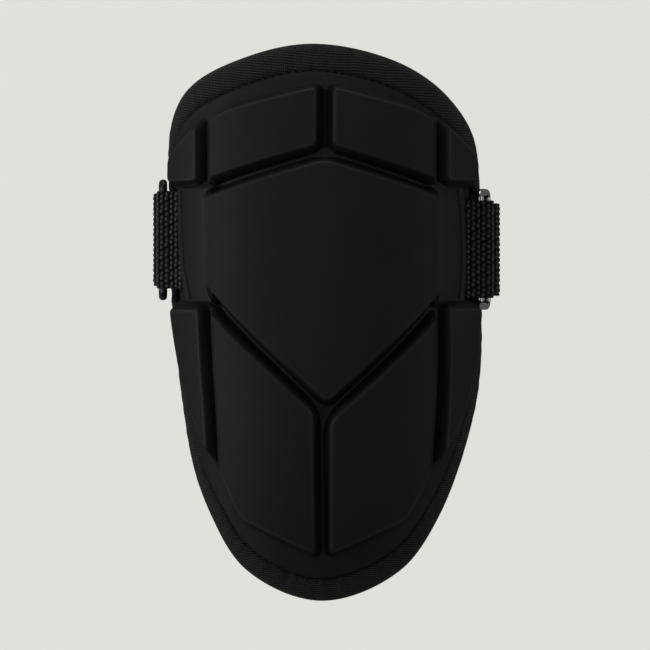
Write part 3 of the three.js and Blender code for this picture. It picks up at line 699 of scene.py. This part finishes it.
def ribbon(name, path, thickness, width, middle_at, steps, sizes, material):
    """Woven webbing along a path in x and z, with real floats on both of its faces"""
    length = np.linalg.norm(np.diff(path, axis=0), axis=1).sum()
    line = evenly(path, int(length / steps[0]))
    ways = unit(np.gradient(line, axis=0))
    out = np.stack([-ways[:, 1], np.zeros(len(line)), ways[:, 0]], axis=1)
    t = np.linspace(-width / 2, width / 2, int(width / steps[1]))
    s = np.linspace(0, length, len(line))
    rim = np.clip((np.abs(t) - width / 2 + 0.9) / 0.9, 0, 1)
    body = (thickness / 2 - 1.13 * sizes.float_height / MM) * np.sqrt(np.maximum(1 - rim**2, 0.02))
    sides, marks, worn = [], [], []
    for way, shift in ((1, 0), (-1, sizes.pick_spacing / MM)):
        share = weave_relief(s[:, None] + shift, t[None], sizes) * (1 - rim**3)
        reach = way * (body + share * sizes.float_height / MM)
        y = middle_at(line[:, 0])[:, None] + t
        centre = np.stack([np.broadcast_to(line[:, :1], y.shape), y,
                           np.broadcast_to(line[:, 1:], y.shape)], axis=2)
        sides.append((centre + out[:, None] * reach[..., None]).reshape(-1, 3))
        marks.append(share.ravel())
        # The threads that turn outwards over a ring, facing out sideways, get a painted highlight
        outwards = way * out[:, :1] * np.sign(line[:, :1])
        worn.append((share * np.clip((outwards - 0.6) / 0.35, 0, 1)).ravel())
    rows, columns = len(s), len(t)
    upper = np.arange(rows * columns).reshape(rows, columns)
    lower = upper + rows * columns
    faces = strips(upper, False) + strips(lower[:, ::-1], False)
    faces += strips([lower[:, 0], upper[:, 0]], False) + strips([upper[:, -1], lower[:, -1]], False)
    faces += strips([upper[0], lower[0]], False) + strips([lower[-1], upper[-1]], False)
    flat = np.stack(np.meshgrid(t, s), axis=2).reshape(-1, 2)
    return new_piece(name, np.vstack(sides), faces, material, np.vstack([flat, flat]),
                     {"floats": np.concatenate(marks), "worn": np.concatenate(worn)})


# ---- Materials -----------------------------------------------------------------------------------

class Wire:
    """An output socket, to which Python's own operators add Math nodes"""

    def __init__(self, tree, socket):
        self.tree, self.socket = tree, socket

    def maths(self, operation, *others):
        node = self.tree.nodes.new("ShaderNodeMath")
        node.operation = operation
        for slot, value in zip(node.inputs, (self, *others)):
            plug(self.tree, slot, value)
        return Wire(self.tree, node.outputs[0])

    def __add__(self, other):
        return self.maths("ADD", other)

    def __sub__(self, other):
        return self.maths("SUBTRACT", other)

    def __rsub__(self, other):
        return (self * -1).maths("ADD", other)

    def __mul__(self, other):
        return self.maths("MULTIPLY", other)

    __radd__, __rmul__ = __add__, __mul__


def plug(tree, socket, value):
    if isinstance(value, Wire):
        tree.links.new(value.socket, socket)
    elif socket.type == "RGBA":
        socket.default_value = (*value[:3], 1)
    else:
        socket.default_value = value


class Finish:
    """A material's nodes while it is made"""

    def __init__(self, name, color, roughness, **fixed):
        self.material = bpy.data.materials.new(name)
        self.material.use_nodes = True
        self.tree = self.material.node_tree
        self.shader = self.tree.nodes["Principled BSDF"]
        self.material.diffuse_color = (*color, 1)
        self.set("Base Color", color)
        self.set("Roughness", roughness)
        for name, value in fixed.items():
            self.set(name.replace("_", " "), value)

    def set(self, socket, value):
        plug(self.tree, self.shader.inputs[socket], value)

    def node(self, kind, settings=None, sockets=None, output=0):
        node = self.tree.nodes.new("ShaderNode" + kind)
        for setting, value in (settings or {}).items():
            setattr(node, setting, value)
        for socket, value in (sockets or {}).items():
            plug(self.tree, node.inputs[socket], value)
        return Wire(self.tree, node.outputs[output])

    def place(self):
        return self.node("TexCoord", output="Object")

    def pattern(self):
        """The piece's own UVs, in metres, as two values"""
        uv = self.node("UVMap", {"uv_map": "pattern"})
        parts = self.node("SeparateXYZ", sockets={"Vector": uv})
        return parts, Wire(self.tree, parts.socket.node.outputs[1])

    def mark(self, name):
        return self.node("Attribute", {"attribute_name": name}, output="Fac")

    def noise(self, scale, detail=2.0, where=None):
        where = where or self.place()
        return self.node("TexNoise", sockets={"Vector": where, "Scale": scale, "Detail": detail})

    def pits(self, scale):
        """Distance from the middles of small uneven cells"""
        where = self.place()
        return self.node("TexVoronoi", sockets={"Vector": where, "Scale": scale}, output="Distance")

    def between(self, share, dark, light):
        """A colour from dark to light as the share goes from 0 to 1"""
        return self.node("Mix", {"data_type": "RGBA"}, {0: share, 6: dark, 7: light}, 2)

    def wave(self, place, spacing):
        """Rises from 0 to 1 and falls again once in each spacing"""
        return (place * (2 * math.pi / spacing)).maths("SINE") * 0.5 + 0.5

    def tint(self, share, color, dark, light):
        """One colour's shades, from dark to light"""
        return self.between(share, shade(color, dark), shade(color, light))

    def bump(self, height, distance, strength=1.0):
        self.set("Normal", self.node("Bump", sockets={
            "Strength": strength, "Distance": distance, "Height": height,
        }))


def shade(color, share):
    return tuple(part * share for part in color)


def foam_finish(looks):
    finish = Finish("moulded_foam_skin", looks.foam_color, 0.55, Specular_IOR_Level=0.32)
    grain = finish.noise(1500, 3)
    cloud = finish.noise(45, 3)
    brow, groove = finish.mark("brow"), finish.mark("groove")
    # tone mixes random mottle with the painted highlight of the brows; the base colour then takes painted
    # shade from the groove mark
    tone = cloud * 0.25 + grain * 0.15 + brow * 0.9
    worn = finish.tint(tone, looks.foam_color, 0.85, 2.6)
    finish.set("Base Color", finish.between(groove, worn, shade(looks.foam_color, 0.08)))
    finish.set("Roughness", 0.6 - brow * 0.2 + groove * 0.3 + (grain - 0.5) * 0.14)
    finish.bump(grain * 0.6 + finish.pits(1150) * 0.4, 0.00012, 0.35)
    return finish.material


def knit_finish(looks):
    finish = Finish("ribbed_knit", looks.knit_color, 0.8, Specular_IOR_Level=0.3, Sheen_Weight=0.12,
                    Sheen_Roughness=0.5)
    s, t = finish.pattern()
    slant = math.radians(4)
    wander = finish.noise(60, 2) * 0.0012
    rib = finish.wave(s * math.sin(slant) + t * math.cos(slant) + wander, 0.001)
    thread = finish.wave(s * math.cos(slant) - t * math.sin(slant), 0.00083)
    fuzz = finish.noise(2600, 3)
    height = rib * 0.5 + thread * 0.4 + fuzz * 0.3
    # The rib tops are painted lighter and the hollows between them darker: painted light and shade that
    # follow the ribs' bump
    tone = rib * (thread * 0.5 + 0.5) * 0.85 + fuzz * 0.15
    cloth = finish.tint(tone, looks.knit_color, 0.02, 3.1)
    # Next to the seam the knit is darkened by painted shade
    finish.set("Base Color", finish.between(finish.mark("tuck"), cloth, shade(looks.knit_color, 0.05)))
    finish.set("Roughness", 0.9 - tone * 0.22)
    finish.bump(height, 0.0004, 0.9)
    return finish.material


def webbing_finish(looks):
    finish = Finish("woven_webbing", looks.webbing_color, 0.5, Specular_IOR_Level=0.35, Coat_Roughness=0.18)
    across, along = finish.pattern()
    floats = finish.mark("floats")
    fibre = finish.wave(across, 0.00026)
    fuzz = finish.noise(1800, 3)
    # The float tops are painted lighter and the gaps between them darker: painted highlight and shade that
    # follow the floats' relief
    tone = floats * 0.55 + floats * floats * 0.35 + fibre * floats * 0.2
    threads = finish.tint(tone, looks.webbing_color, 0.03, 3.3)
    # Threads turned outwards over a ring get a painted highlight
    finish.set("Base Color", finish.between(finish.mark("worn"), threads, shade(looks.webbing_color, 8)))
    finish.set("Roughness", 0.95 - floats * 0.6)
    finish.set("Coat Weight", floats * floats)
    finish.bump(fibre * 0.6 + fuzz * 0.6, 0.00012, 0.7)
    return finish.material


def plastic_finish(looks):
    finish = Finish("glossy_black_plastic", looks.plastic_color, 0.2, Specular_IOR_Level=0.55,
                    Coat_Weight=0.3, Coat_Roughness=0.08)
    smudge = finish.noise(220, 4)
    scuffs = finish.noise(1400, 2)
    finish.set("Base Color", finish.tint(smudge, looks.plastic_color, 0.7, 1.5))
    finish.set("Roughness", smudge * 0.16 + scuffs * 0.1 + 0.08)
    finish.bump(smudge, 0.00008, 0.3)
    return finish.material


def chrome_finish(looks):
    finish = Finish("polished_chrome", looks.chrome_color, 0.1, Metallic=1.0)
    smudge = finish.noise(180, 4)
    brushed = finish.noise(2200, 2)
    finish.set("Base Color", finish.tint(smudge, looks.chrome_color, 0.82, 1))
    finish.set("Roughness", smudge * 0.14 + brushed * 0.05 + 0.03)
    finish.bump(smudge, 0.00006, 0.25)
    return finish.material


def hook_finish(looks):
    finish = Finish("hook_tape", looks.webbing_color, 0.7, Sheen_Weight=0.1)
    hooks = finish.pits(900)
    weave = finish.noise(1600, 2)
    # The raised middles of the hook cells are painted lighter and the spaces between them darker: painted
    # light and shade that follow the bump
    finish.set("Base Color", finish.tint(hooks, looks.webbing_color, 1.8, 0.4))
    finish.set("Roughness", weave * 0.3 + 0.5)
    finish.bump(1 - hooks, 0.0005, 0.8)
    return finish.material


def thread_finish(looks):
    finish = Finish("seam_thread", looks.webbing_color, 0.55, Sheen_Weight=0.08)
    strands = finish.noise(3200, 2)
    finish.set("Base Color", finish.tint(strands, looks.webbing_color, 0.1, 0.9))
    finish.set("Roughness", strands * 0.3 + 0.4)
    finish.bump(strands, 0.0001, 0.8)
    return finish.material


def stage_finish(color):
    finish = Finish("pale_stage", (0.05, 0.05, 0.05), 0.9, Specular_IOR_Level=0.0, Emission_Strength=1.0)
    finish.set("Emission Color", finish.tint(finish.noise(0.4, 1), color, 0.999, 1.001))
    return finish.material


# ---- Settings ------------------------------------------------------------------------------------

def length_setting(name, description, default):
    return FloatProperty(name=name, description=description, default=default, unit="LENGTH", precision=5)


def power_setting(name, place, default):
    return FloatProperty(name=name, description=f"Power of the light {place}", default=default,
                         unit="POWER")


def color_setting(name, part, default):
    return FloatVectorProperty(name=name, description=f"Colour of the {part}", default=default,
                               subtype="COLOR")


class GuardSizes(bpy.types.PropertyGroup):
    """Sizes of the relief, the seam and the weave"""
    block_rise: length_setting("Block rise", "How far the blocks stand over the grooves", 0.0046)
    pucker: length_setting("Pucker", "How far the rim puckers along its seam", 0.00028)
    stitch_spacing: length_setting("Stitch spacing", "Distance between the seam's stitches", 0.0031)
    thread: length_setting("Thread", "Thickness of the seam's thread", 0.0009)
    pick_spacing: length_setting("Pick spacing", "Distance between rows of floats", 0.0025)
    float_spacing: length_setting("Float spacing", "Distance between floats in a row", 0.0021)
    float_height: length_setting("Float height", "How far the floats stand proud", 0.0005)
    fill: FloatProperty(name="Fill", description="How full the padding is", default=0.9, subtype="FACTOR")
    rim_points: IntProperty(name="Rim points", description="Points round the guard's edge", default=1100)


class GuardLooks(bpy.types.PropertyGroup):
    """Colours of the finishes"""
    foam_color: color_setting("Foam", "moulded foam face", (0.016, 0.016, 0.0165))
    knit_color: color_setting("Knit", "knit backing", (0.0235, 0.0235, 0.024))
    webbing_color: color_setting("Webbing", "tabs, strap and thread", (0.011, 0.011, 0.0114))
    plastic_color: color_setting("Plastic", "left ring", (0.006, 0.006, 0.0064))
    chrome_color: color_setting("Chrome", "right ring", (0.9, 0.9, 0.91))


class StageSettings(bpy.types.PropertyGroup):
    """The floor, the lights and the camera"""
    floor_color: color_setting("Floor", "floor and the backdrop", (0.7454, 0.7379, 0.7084))
    side_power: power_setting("Side light", "low at the left", 2.75)
    high_power: power_setting("High light", "raised at the left", 0.55)
    corner_power: power_setting("Corner light", "raised at the top left", 0.85)
    head_power: power_setting("Head light", "low beyond the top end", 2.8)
    right_power: power_setting("Right light", "low at the right", 1.05)
    over_power: power_setting("Overhead light", "straight above", 0.95)
    ambient: FloatProperty(name="Ambient", description="Strength of the light from all round",
                           default=0.085)
    frame_width: FloatProperty(name="Frame width", description="Width of the camera's view at the guard",
                               default=0.2665, unit="LENGTH", precision=4)
    camera_distance: FloatProperty(name="Camera distance", description="How far away the camera is",
                                   default=8.0, unit="LENGTH")
    tilt: FloatProperty(name="Tilt", description="How far the camera leans to the right",
                        default=math.radians(1.8), subtype="ANGLE")


# ---- Operators -----------------------------------------------------------------------------------

def sizes_of(context):
    return context.scene.elbow_guard_sizes


def looks_of(context):
    return context.scene.elbow_guard_looks


def deselect():
    bpy.ops.object.select_all(action="DESELECT")


def soft_light(name, place, size, power, target=(0, 0, 0.03)):
    """A square soft light that faces the guard"""
    deselect()
    bpy.ops.object.light_add(type="AREA", location=place)
    light = bpy.context.object
    light.name = name
    light.data.shape, light.data.size, light.data.energy = "SQUARE", size, power
    light.rotation_mode = "QUATERNION"
    light.rotation_quaternion = (Vector(target) - light.location).to_track_quat("-Z", "Y")
    light.visible_camera = False
    return light


class ELBOWGUARD_OT_stage(bpy.types.Operator):
    """Sets the camera, the pale floor and the soft lights"""
    bl_idname = "elbow_guard.stage"
    bl_label = "Stage"

    def execute(self, context):
        settings = context.scene.elbow_guard_stage
        target = Vector((-0.000205, -0.001025, 0.014))
        back = Vector((math.sin(settings.tilt), 0, math.cos(settings.tilt)))
        data = bpy.data.cameras.new("camera")
        data.sensor_width = 36
        data.lens = data.sensor_width * settings.camera_distance / settings.frame_width
        data.clip_start, data.clip_end = 0.1, 100
        camera = bpy.data.objects.new("camera", data)
        camera.location = target + back * settings.camera_distance
        camera.rotation_euler = (0, settings.tilt, 0)
        context.collection.objects.link(camera)
        context.scene.camera = camera

        pale = stage_finish(settings.floor_color)
        deselect()
        bpy.ops.mesh.primitive_grid_add(x_subdivisions=8, y_subdivisions=8, size=24)
        floor = context.object
        bpy.ops.mesh.primitive_uv_sphere_add(segments=48, ring_count=24, radius=30)
        backdrop = context.object
        for piece, name in ((floor, "floor"), (backdrop, "backdrop")):
            piece.name = name
            piece.data.materials.append(pale)
            piece.visible_diffuse = piece.visible_glossy = piece.visible_shadow = False

        for name, (place, size) in LIGHTS.items():
            soft_light(f"{name}_light", place, size, getattr(settings, f"{name}_power"))
        world = context.scene.world or bpy.data.worlds.new("world")
        context.scene.world = world
        world.use_nodes = True
        air = world.node_tree.nodes["Background"]
        air.inputs["Color"].default_value = (1, 1, 1, 1)
        air.inputs["Strength"].default_value = settings.ambient
        context.scene.view_settings.view_transform = "Standard"
        context.scene.view_settings.look = "None"
        return {"FINISHED"}


class ELBOWGUARD_OT_moulded_face(bpy.types.Operator):
    """Builds the moulded foam face with its blocks, grooves and lips"""
    bl_idname = "elbow_guard.moulded_face"
    bl_label = "Moulded face"

    def execute(self, context):
        sizes = sizes_of(context)
        rise = sizes.block_rise / MM
        border = face_border(guard_edge(sizes.rim_points))
        cells = block_cells()
        lines = relief_lines(border, cells)
        grid = away_from(grid_points(border, 2.2), [border, *(line for line, _ in lines)], 1.1)
        flat, faces = filled(border, lines, grid)
        from_edge = distance_to(border, flat, closed=True)
        height = face_height(flat, cells, rise)
        rounding = np.clip(FACE_ROUNDING - from_edge, 0, FACE_ROUNDING)
        height -= FACE_ROUNDING - np.sqrt(FACE_ROUNDING**2 - rounding**2)
        top, normals = bent(flat, height)
        top = pressed(top, normals, -1)
        brows, grooves = edge_marks(flat, cells)
        # The pressed score lines get dashed painted shade, with a band of painted highlight beside them on
        # the lip, and the face's border gets painted shade along the seam
        for side in SIDES.values():
            from_lip = lip_at(side, flat[:, 1]) - side * flat[:, 0]
            dashes = 0.75 + 0.25 * np.sin(flat[:, 1] * 2 * math.pi / 2.6)
            grooves = np.maximum(grooves, score_line(from_lip, flat[:, 1]) * dashes)
            scored = score_line(SCORE_INSET, flat[:, 1]) > 0.5
            brows += 0.3 * fade(np.abs(from_lip - 2.2) - 1.2, 1) * scored
        grooves = np.maximum(grooves, bell(from_edge, 0.75))

        count = len(border)
        under_border = inset(border, 0.5)
        under_grid = away_from(grid_points(border, 4), [under_border], 2)
        under_flat, under_faces = filled(under_border, (), under_grid)
        wall, wall_normals = bent(border, CLEARANCE + 0.5)
        wall = pressed(wall, wall_normals, 1)
        under, under_normals = bent(under_flat, CLEARANCE)
        under = pressed(under, under_normals, 1)
        start_wall, start_under = len(top), len(top) + count
        ring = np.arange(count)
        faces = faces.tolist() + strips([start_under + ring, start_wall + ring, ring])
        faces += (start_under + under_faces[:, ::-1]).tolist()
        points = np.vstack([top, wall, under])
        # The hidden wall and underside carry full painted shade and no painted highlight
        marks = {name: np.concatenate([values, np.full(len(points) - len(top), rest)])
                 for name, values, rest in (("brow", brows, 0), ("groove", grooves, 1))}
        piece = new_piece("foam_face", points, faces, foam_finish(looks_of(context)),
                          np.vstack([flat, border, under_flat]), marks)
        settled(piece, "molded_foam", "molded_face")
        return {"FINISHED"}


class ELBOWGUARD_OT_backing(bpy.types.Operator):
    """Builds the padded knit backing with its rolled rim"""
    bl_idname = "elbow_guard.backing"
    bl_label = "Knit backing"

    def execute(self, context):
        sizes = sizes_of(context)
        edge = guard_edge(sizes.rim_points)
        count = len(edge)
        roll = (BACKING_THICKNESS + RIM_RISE) / 2
        seat = rim_width(edge[:, 1]) - CLEARANCE
        rows = [(roll + (seat - roll) * share, height) for share, height in RIM_PROFILE]
        for turn in np.linspace(math.pi / 2, -math.pi / 2, 17):
            reach = np.full(count, roll * (1 - math.cos(turn)))
            rows.append((reach, RIM_RISE - roll + roll * math.sin(turn)))
        s = np.linspace(0, 1, count, endpoint=False)
        ripple = np.zeros(count)
        for waves, weight, phase in RIM_WAVES:
            ripple += weight * np.sin(2 * math.pi * waves * s + phase)
        points, flats, tuck_shades, run = [], [], [], 0.0
        before = None
        for inset_by, height in rows:
            outline = inset(edge, inset_by)
            puckered = np.clip(np.mean(inset_by) / roll - 0.5, 0, 1) * (height > 0.5)
            lift = sizes.pucker / MM * ripple * puckered
            bends, normals = bent(outline, height + lift)
            if before is not None:
                run += np.hypot(np.mean(inset_by) - before[0], height - before[1])
            before = (np.mean(inset_by), height)
            points.append(pressed(bends, normals, -1))
            flats.append(inset(edge, seat - run))
            # Painted shade in the knit next to the seam, fading with the run along the rim
            tuck_shades.append(np.full(count, bell(run, TUCK_SHADE_WIDTH)))
        rim_rows = [i * count + np.arange(count) for i in range(len(rows))]
        faces = strips(rim_rows[::-1])
        for inset_by, height, flip in ((seat, 0.0, False), (roll, -BACKING_THICKNESS, True)):
            outline = inset(edge, inset_by)
            flat, inner = filled(outline, (), away_from(grid_points(outline, 3), [outline], 1.5))
            bends, normals = bent(flat[count:], np.full(len(flat) - count, height))
            start = sum(map(len, points))
            numbers = np.concatenate([rim_rows[-1] if flip else rim_rows[0],
                                      start + np.arange(len(flat) - count)])
            inner = numbers[inner]
            faces += (inner[:, ::-1] if flip else inner).tolist()
            points.append(bends if flip else pressed(bends, normals, -1))
            flats.append(flat[count:])
            tuck_shades.append(np.zeros(len(flat) - count))
        piece = new_piece("knit_backing", np.vstack(points), faces, knit_finish(looks_of(context)),
                          np.vstack(flats), {"tuck": np.concatenate(tuck_shades)})
        settled(piece, "knit_fabric", "fabric_backing")
        return {"FINISHED"}


class ELBOWGUARD_OT_seam(bpy.types.Operator):
    """Sews the face to the rim with a row of slanted stitches"""
    bl_idname = "elbow_guard.seam"
    bl_label = "Seam stitches"

    def execute(self, context):
        sizes = sizes_of(context)
        thread, spacing = sizes.thread / MM, sizes.stitch_spacing / MM
        deselect()
        bpy.ops.mesh.primitive_uv_sphere_add(segments=6, ring_count=6, radius=0.5)
        stitch = context.object
        shape = np.array([tuple(vertex.co) for vertex in stitch.data.vertices])
        shape_faces = [list(face.vertices) for face in stitch.data.polygons]
        bpy.data.objects.remove(stitch)
        shape = shape * (thread, spacing * 1.25, thread)
        edge = guard_edge(sizes.rim_points)
        seam = inset(edge, rim_width(edge[:, 1]) - CLEARANCE / 2)
        length = np.linalg.norm(seam - np.roll(seam, 1, 0), axis=1).sum()
        seam = evenly(seam, int(length / spacing), closed=True)
        ways = unit(np.roll(seam, -1, 0) - np.roll(seam, 1, 0))
        slant = math.radians(STITCH_SLANT)
        cos, sin = math.cos(slant), math.sin(slant)
        ways = ways @ np.array([[cos, sin], [-sin, cos]])
        side = np.stack([-ways[:, 1], ways[:, 0]], axis=1)
        flat = seam[:, None] + shape[:, :1] * side[:, None] + shape[:, 1:2] * ways[:, None]
        heights = np.tile(STITCH_HEIGHT + shape[:, 2], len(seam))
        points = pressed(*bent(flat.reshape(-1, 2), heights), -1)
        faces = [[start + i for i in face]
                 for start in range(0, len(points), len(shape)) for face in shape_faces]
        piece = new_piece("seam_stitches", points, faces, thread_finish(looks_of(context)))
        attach(piece, BODY)
        return {"FINISHED"}


class ELBOWGUARD_OT_tabs(bpy.types.Operator):
    """Weaves the two doubled tabs that hold the rings"""
    bl_idname = "elbow_guard.tabs"
    bl_label = "Tabs"

    def execute(self, context):
        finish = webbing_finish(looks_of(context))
        for name, side in SIDES.items():
            path = tab_path(side)
            piece = ribbon(f"{name}_tab_webbing", path if side < 0 else path[::-1], TAB_THICKNESS,
                           TAB_WIDTH, lambda x, side=side: np.full(len(x), side_middle(side)),
                           (0.34, 0.3), sizes_of(context), finish)
            settled(piece, "webbing", f"{name}_tab")
        return {"FINISHED"}


class ELBOWGUARD_OT_strap(bpy.types.Operator):
    """Weaves the strap that closes behind the guard"""
    bl_idname = "elbow_guard.strap"
    bl_label = "Strap"

    def execute(self, context):
        piece = ribbon("closing_strap", strap_path()[::-1], STRAP_THICKNESS, STRAP_WIDTH, strap_middle,
                       (0.52, 0.42), sizes_of(context), webbing_finish(looks_of(context)))
        settled(piece, "webbing", "strap")
        return {"FINISHED"}


class ELBOWGUARD_OT_rings(bpy.types.Operator):
    """Bends the two ring loops out of round wire"""
    bl_idname = "elbow_guard.rings"
    bl_label = "Rings"

    def execute(self, context):
        looks = looks_of(context)
        finishes = {"left": (plastic_finish(looks), "black_plastic"),
                    "right": (chrome_finish(looks), "chromed_wire")}
        for name, side in SIDES.items():
            finish, slot = finishes[name]
            deselect()
            bpy.ops.mesh.primitive_plane_add(size=1)
            bpy.ops.object.mode_set(mode="EDIT")
            bpy.ops.mesh.select_all(action="SELECT")
            bpy.ops.transform.resize(value=(RING_SPACING * MM, (RING_LENGTH - RING_WIRE) * MM, 1))
            bpy.ops.mesh.bevel(affect="VERTICES", offset=RING_CORNER * MM, segments=10)
            bpy.ops.mesh.delete(type="ONLY_FACE")
            bpy.ops.object.mode_set(mode="OBJECT")
            bpy.ops.object.convert(target="CURVE")
            loop = context.object
            loop.data.bevel_depth = RING_WIRE / 2 * MM
            loop.data.bevel_resolution = 8
            bpy.ops.object.convert(target="MESH")
            loop = context.object
            lower, upper = ring_bars(side)
            middle = (lower + upper) / 2
            lean = math.atan2(lower[1] - upper[1], upper[0] - lower[0])
            loop.location = (middle[0] * MM, side_middle(side) * MM, middle[1] * MM)
            loop.rotation_euler = (0, lean, 0)
            bpy.ops.object.transform_apply(location=True, rotation=True, scale=True)
            bpy.ops.object.mode_set(mode="EDIT")
            bpy.ops.mesh.select_all(action="SELECT")
            bpy.ops.mesh.remove_doubles(threshold=1e-6)
            bpy.ops.mesh.normals_make_consistent(inside=False)
            bpy.ops.object.mode_set(mode="OBJECT")
            bpy.ops.object.shade_smooth()
            loop.name = loop.data.name = f"{name}_ring_loop"
            loop.data.materials.clear()
            loop.data.materials.append(finish)
            settled(loop, slot, f"{name}_ring")
        return {"FINISHED"}


class ELBOWGUARD_OT_patch(bpy.types.Operator):
    """Cuts the hook patch that holds the strap's end"""
    bl_idname = "elbow_guard.patch"
    bl_label = "Hook patch"

    def execute(self, context):
        low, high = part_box("hook_patch")
        deselect()
        bpy.ops.mesh.primitive_cube_add(size=1, location=(low + high) / 2)
        patch = context.object
        bpy.ops.object.mode_set(mode="EDIT")
        bpy.ops.mesh.select_all(action="SELECT")
        bpy.ops.transform.resize(value=tuple(size * MM for size in PATCH))
        bpy.ops.mesh.bevel(affect="EDGES", offset=0.3 * MM, segments=2)
        bpy.ops.object.mode_set(mode="OBJECT")
        bpy.ops.object.transform_apply(location=True, rotation=True, scale=True)
        for vertex in patch.data.vertices:
            centre = strap_middle(np.array([vertex.co.x / MM]))[0] * MM
            vertex.co.y += centre - (low.y + high.y) / 2
        bpy.ops.object.shade_smooth_by_angle(angle=math.radians(40))
        patch.name = patch.data.name = "hook_tape_patch"
        patch.data.materials.append(hook_finish(looks_of(context)))
        settled(patch, "hook_tape", "hook_patch")
        return {"FINISHED"}


OPERATORS = (
    ELBOWGUARD_OT_stage, ELBOWGUARD_OT_moulded_face, ELBOWGUARD_OT_backing, ELBOWGUARD_OT_seam,
    ELBOWGUARD_OT_tabs, ELBOWGUARD_OT_strap, ELBOWGUARD_OT_rings, ELBOWGUARD_OT_patch,
)
SETTINGS = {
    "elbow_guard_sizes": GuardSizes, "elbow_guard_looks": GuardLooks, "elbow_guard_stage": StageSettings,
}


class ELBOWGUARD_PT_panel(bpy.types.Panel):
    """Lists the guard's pieces and its settings"""
    bl_idname = "ELBOWGUARD_PT_panel"
    bl_label = "Elbow guard"
    bl_space_type = "VIEW_3D"
    bl_region_type = "UI"
    bl_category = "Elbow guard"

    def draw(self, context):
        for operator in OPERATORS:
            self.layout.operator(operator.bl_idname)
        for name, group in SETTINGS.items():
            box = self.layout.box()
            for prop in group.__annotations__:
                box.prop(getattr(context.scene, name), prop)


def register():
    for made in (*SETTINGS.values(), *OPERATORS, ELBOWGUARD_PT_panel):
        bpy.utils.register_class(made)
    for name, group in SETTINGS.items():
        setattr(bpy.types.Scene, name, PointerProperty(type=group))


def unregister():
    for name in SETTINGS:
        delattr(bpy.types.Scene, name)
    for made in reversed((*SETTINGS.values(), *OPERATORS, ELBOWGUARD_PT_panel)):
        bpy.utils.unregister_class(made)


def main():
    register()
    for operator in OPERATORS:
        group, name = operator.bl_idname.split(".")
        getattr(getattr(bpy.ops, group), name)()


if __name__ == "__main__":
    main()
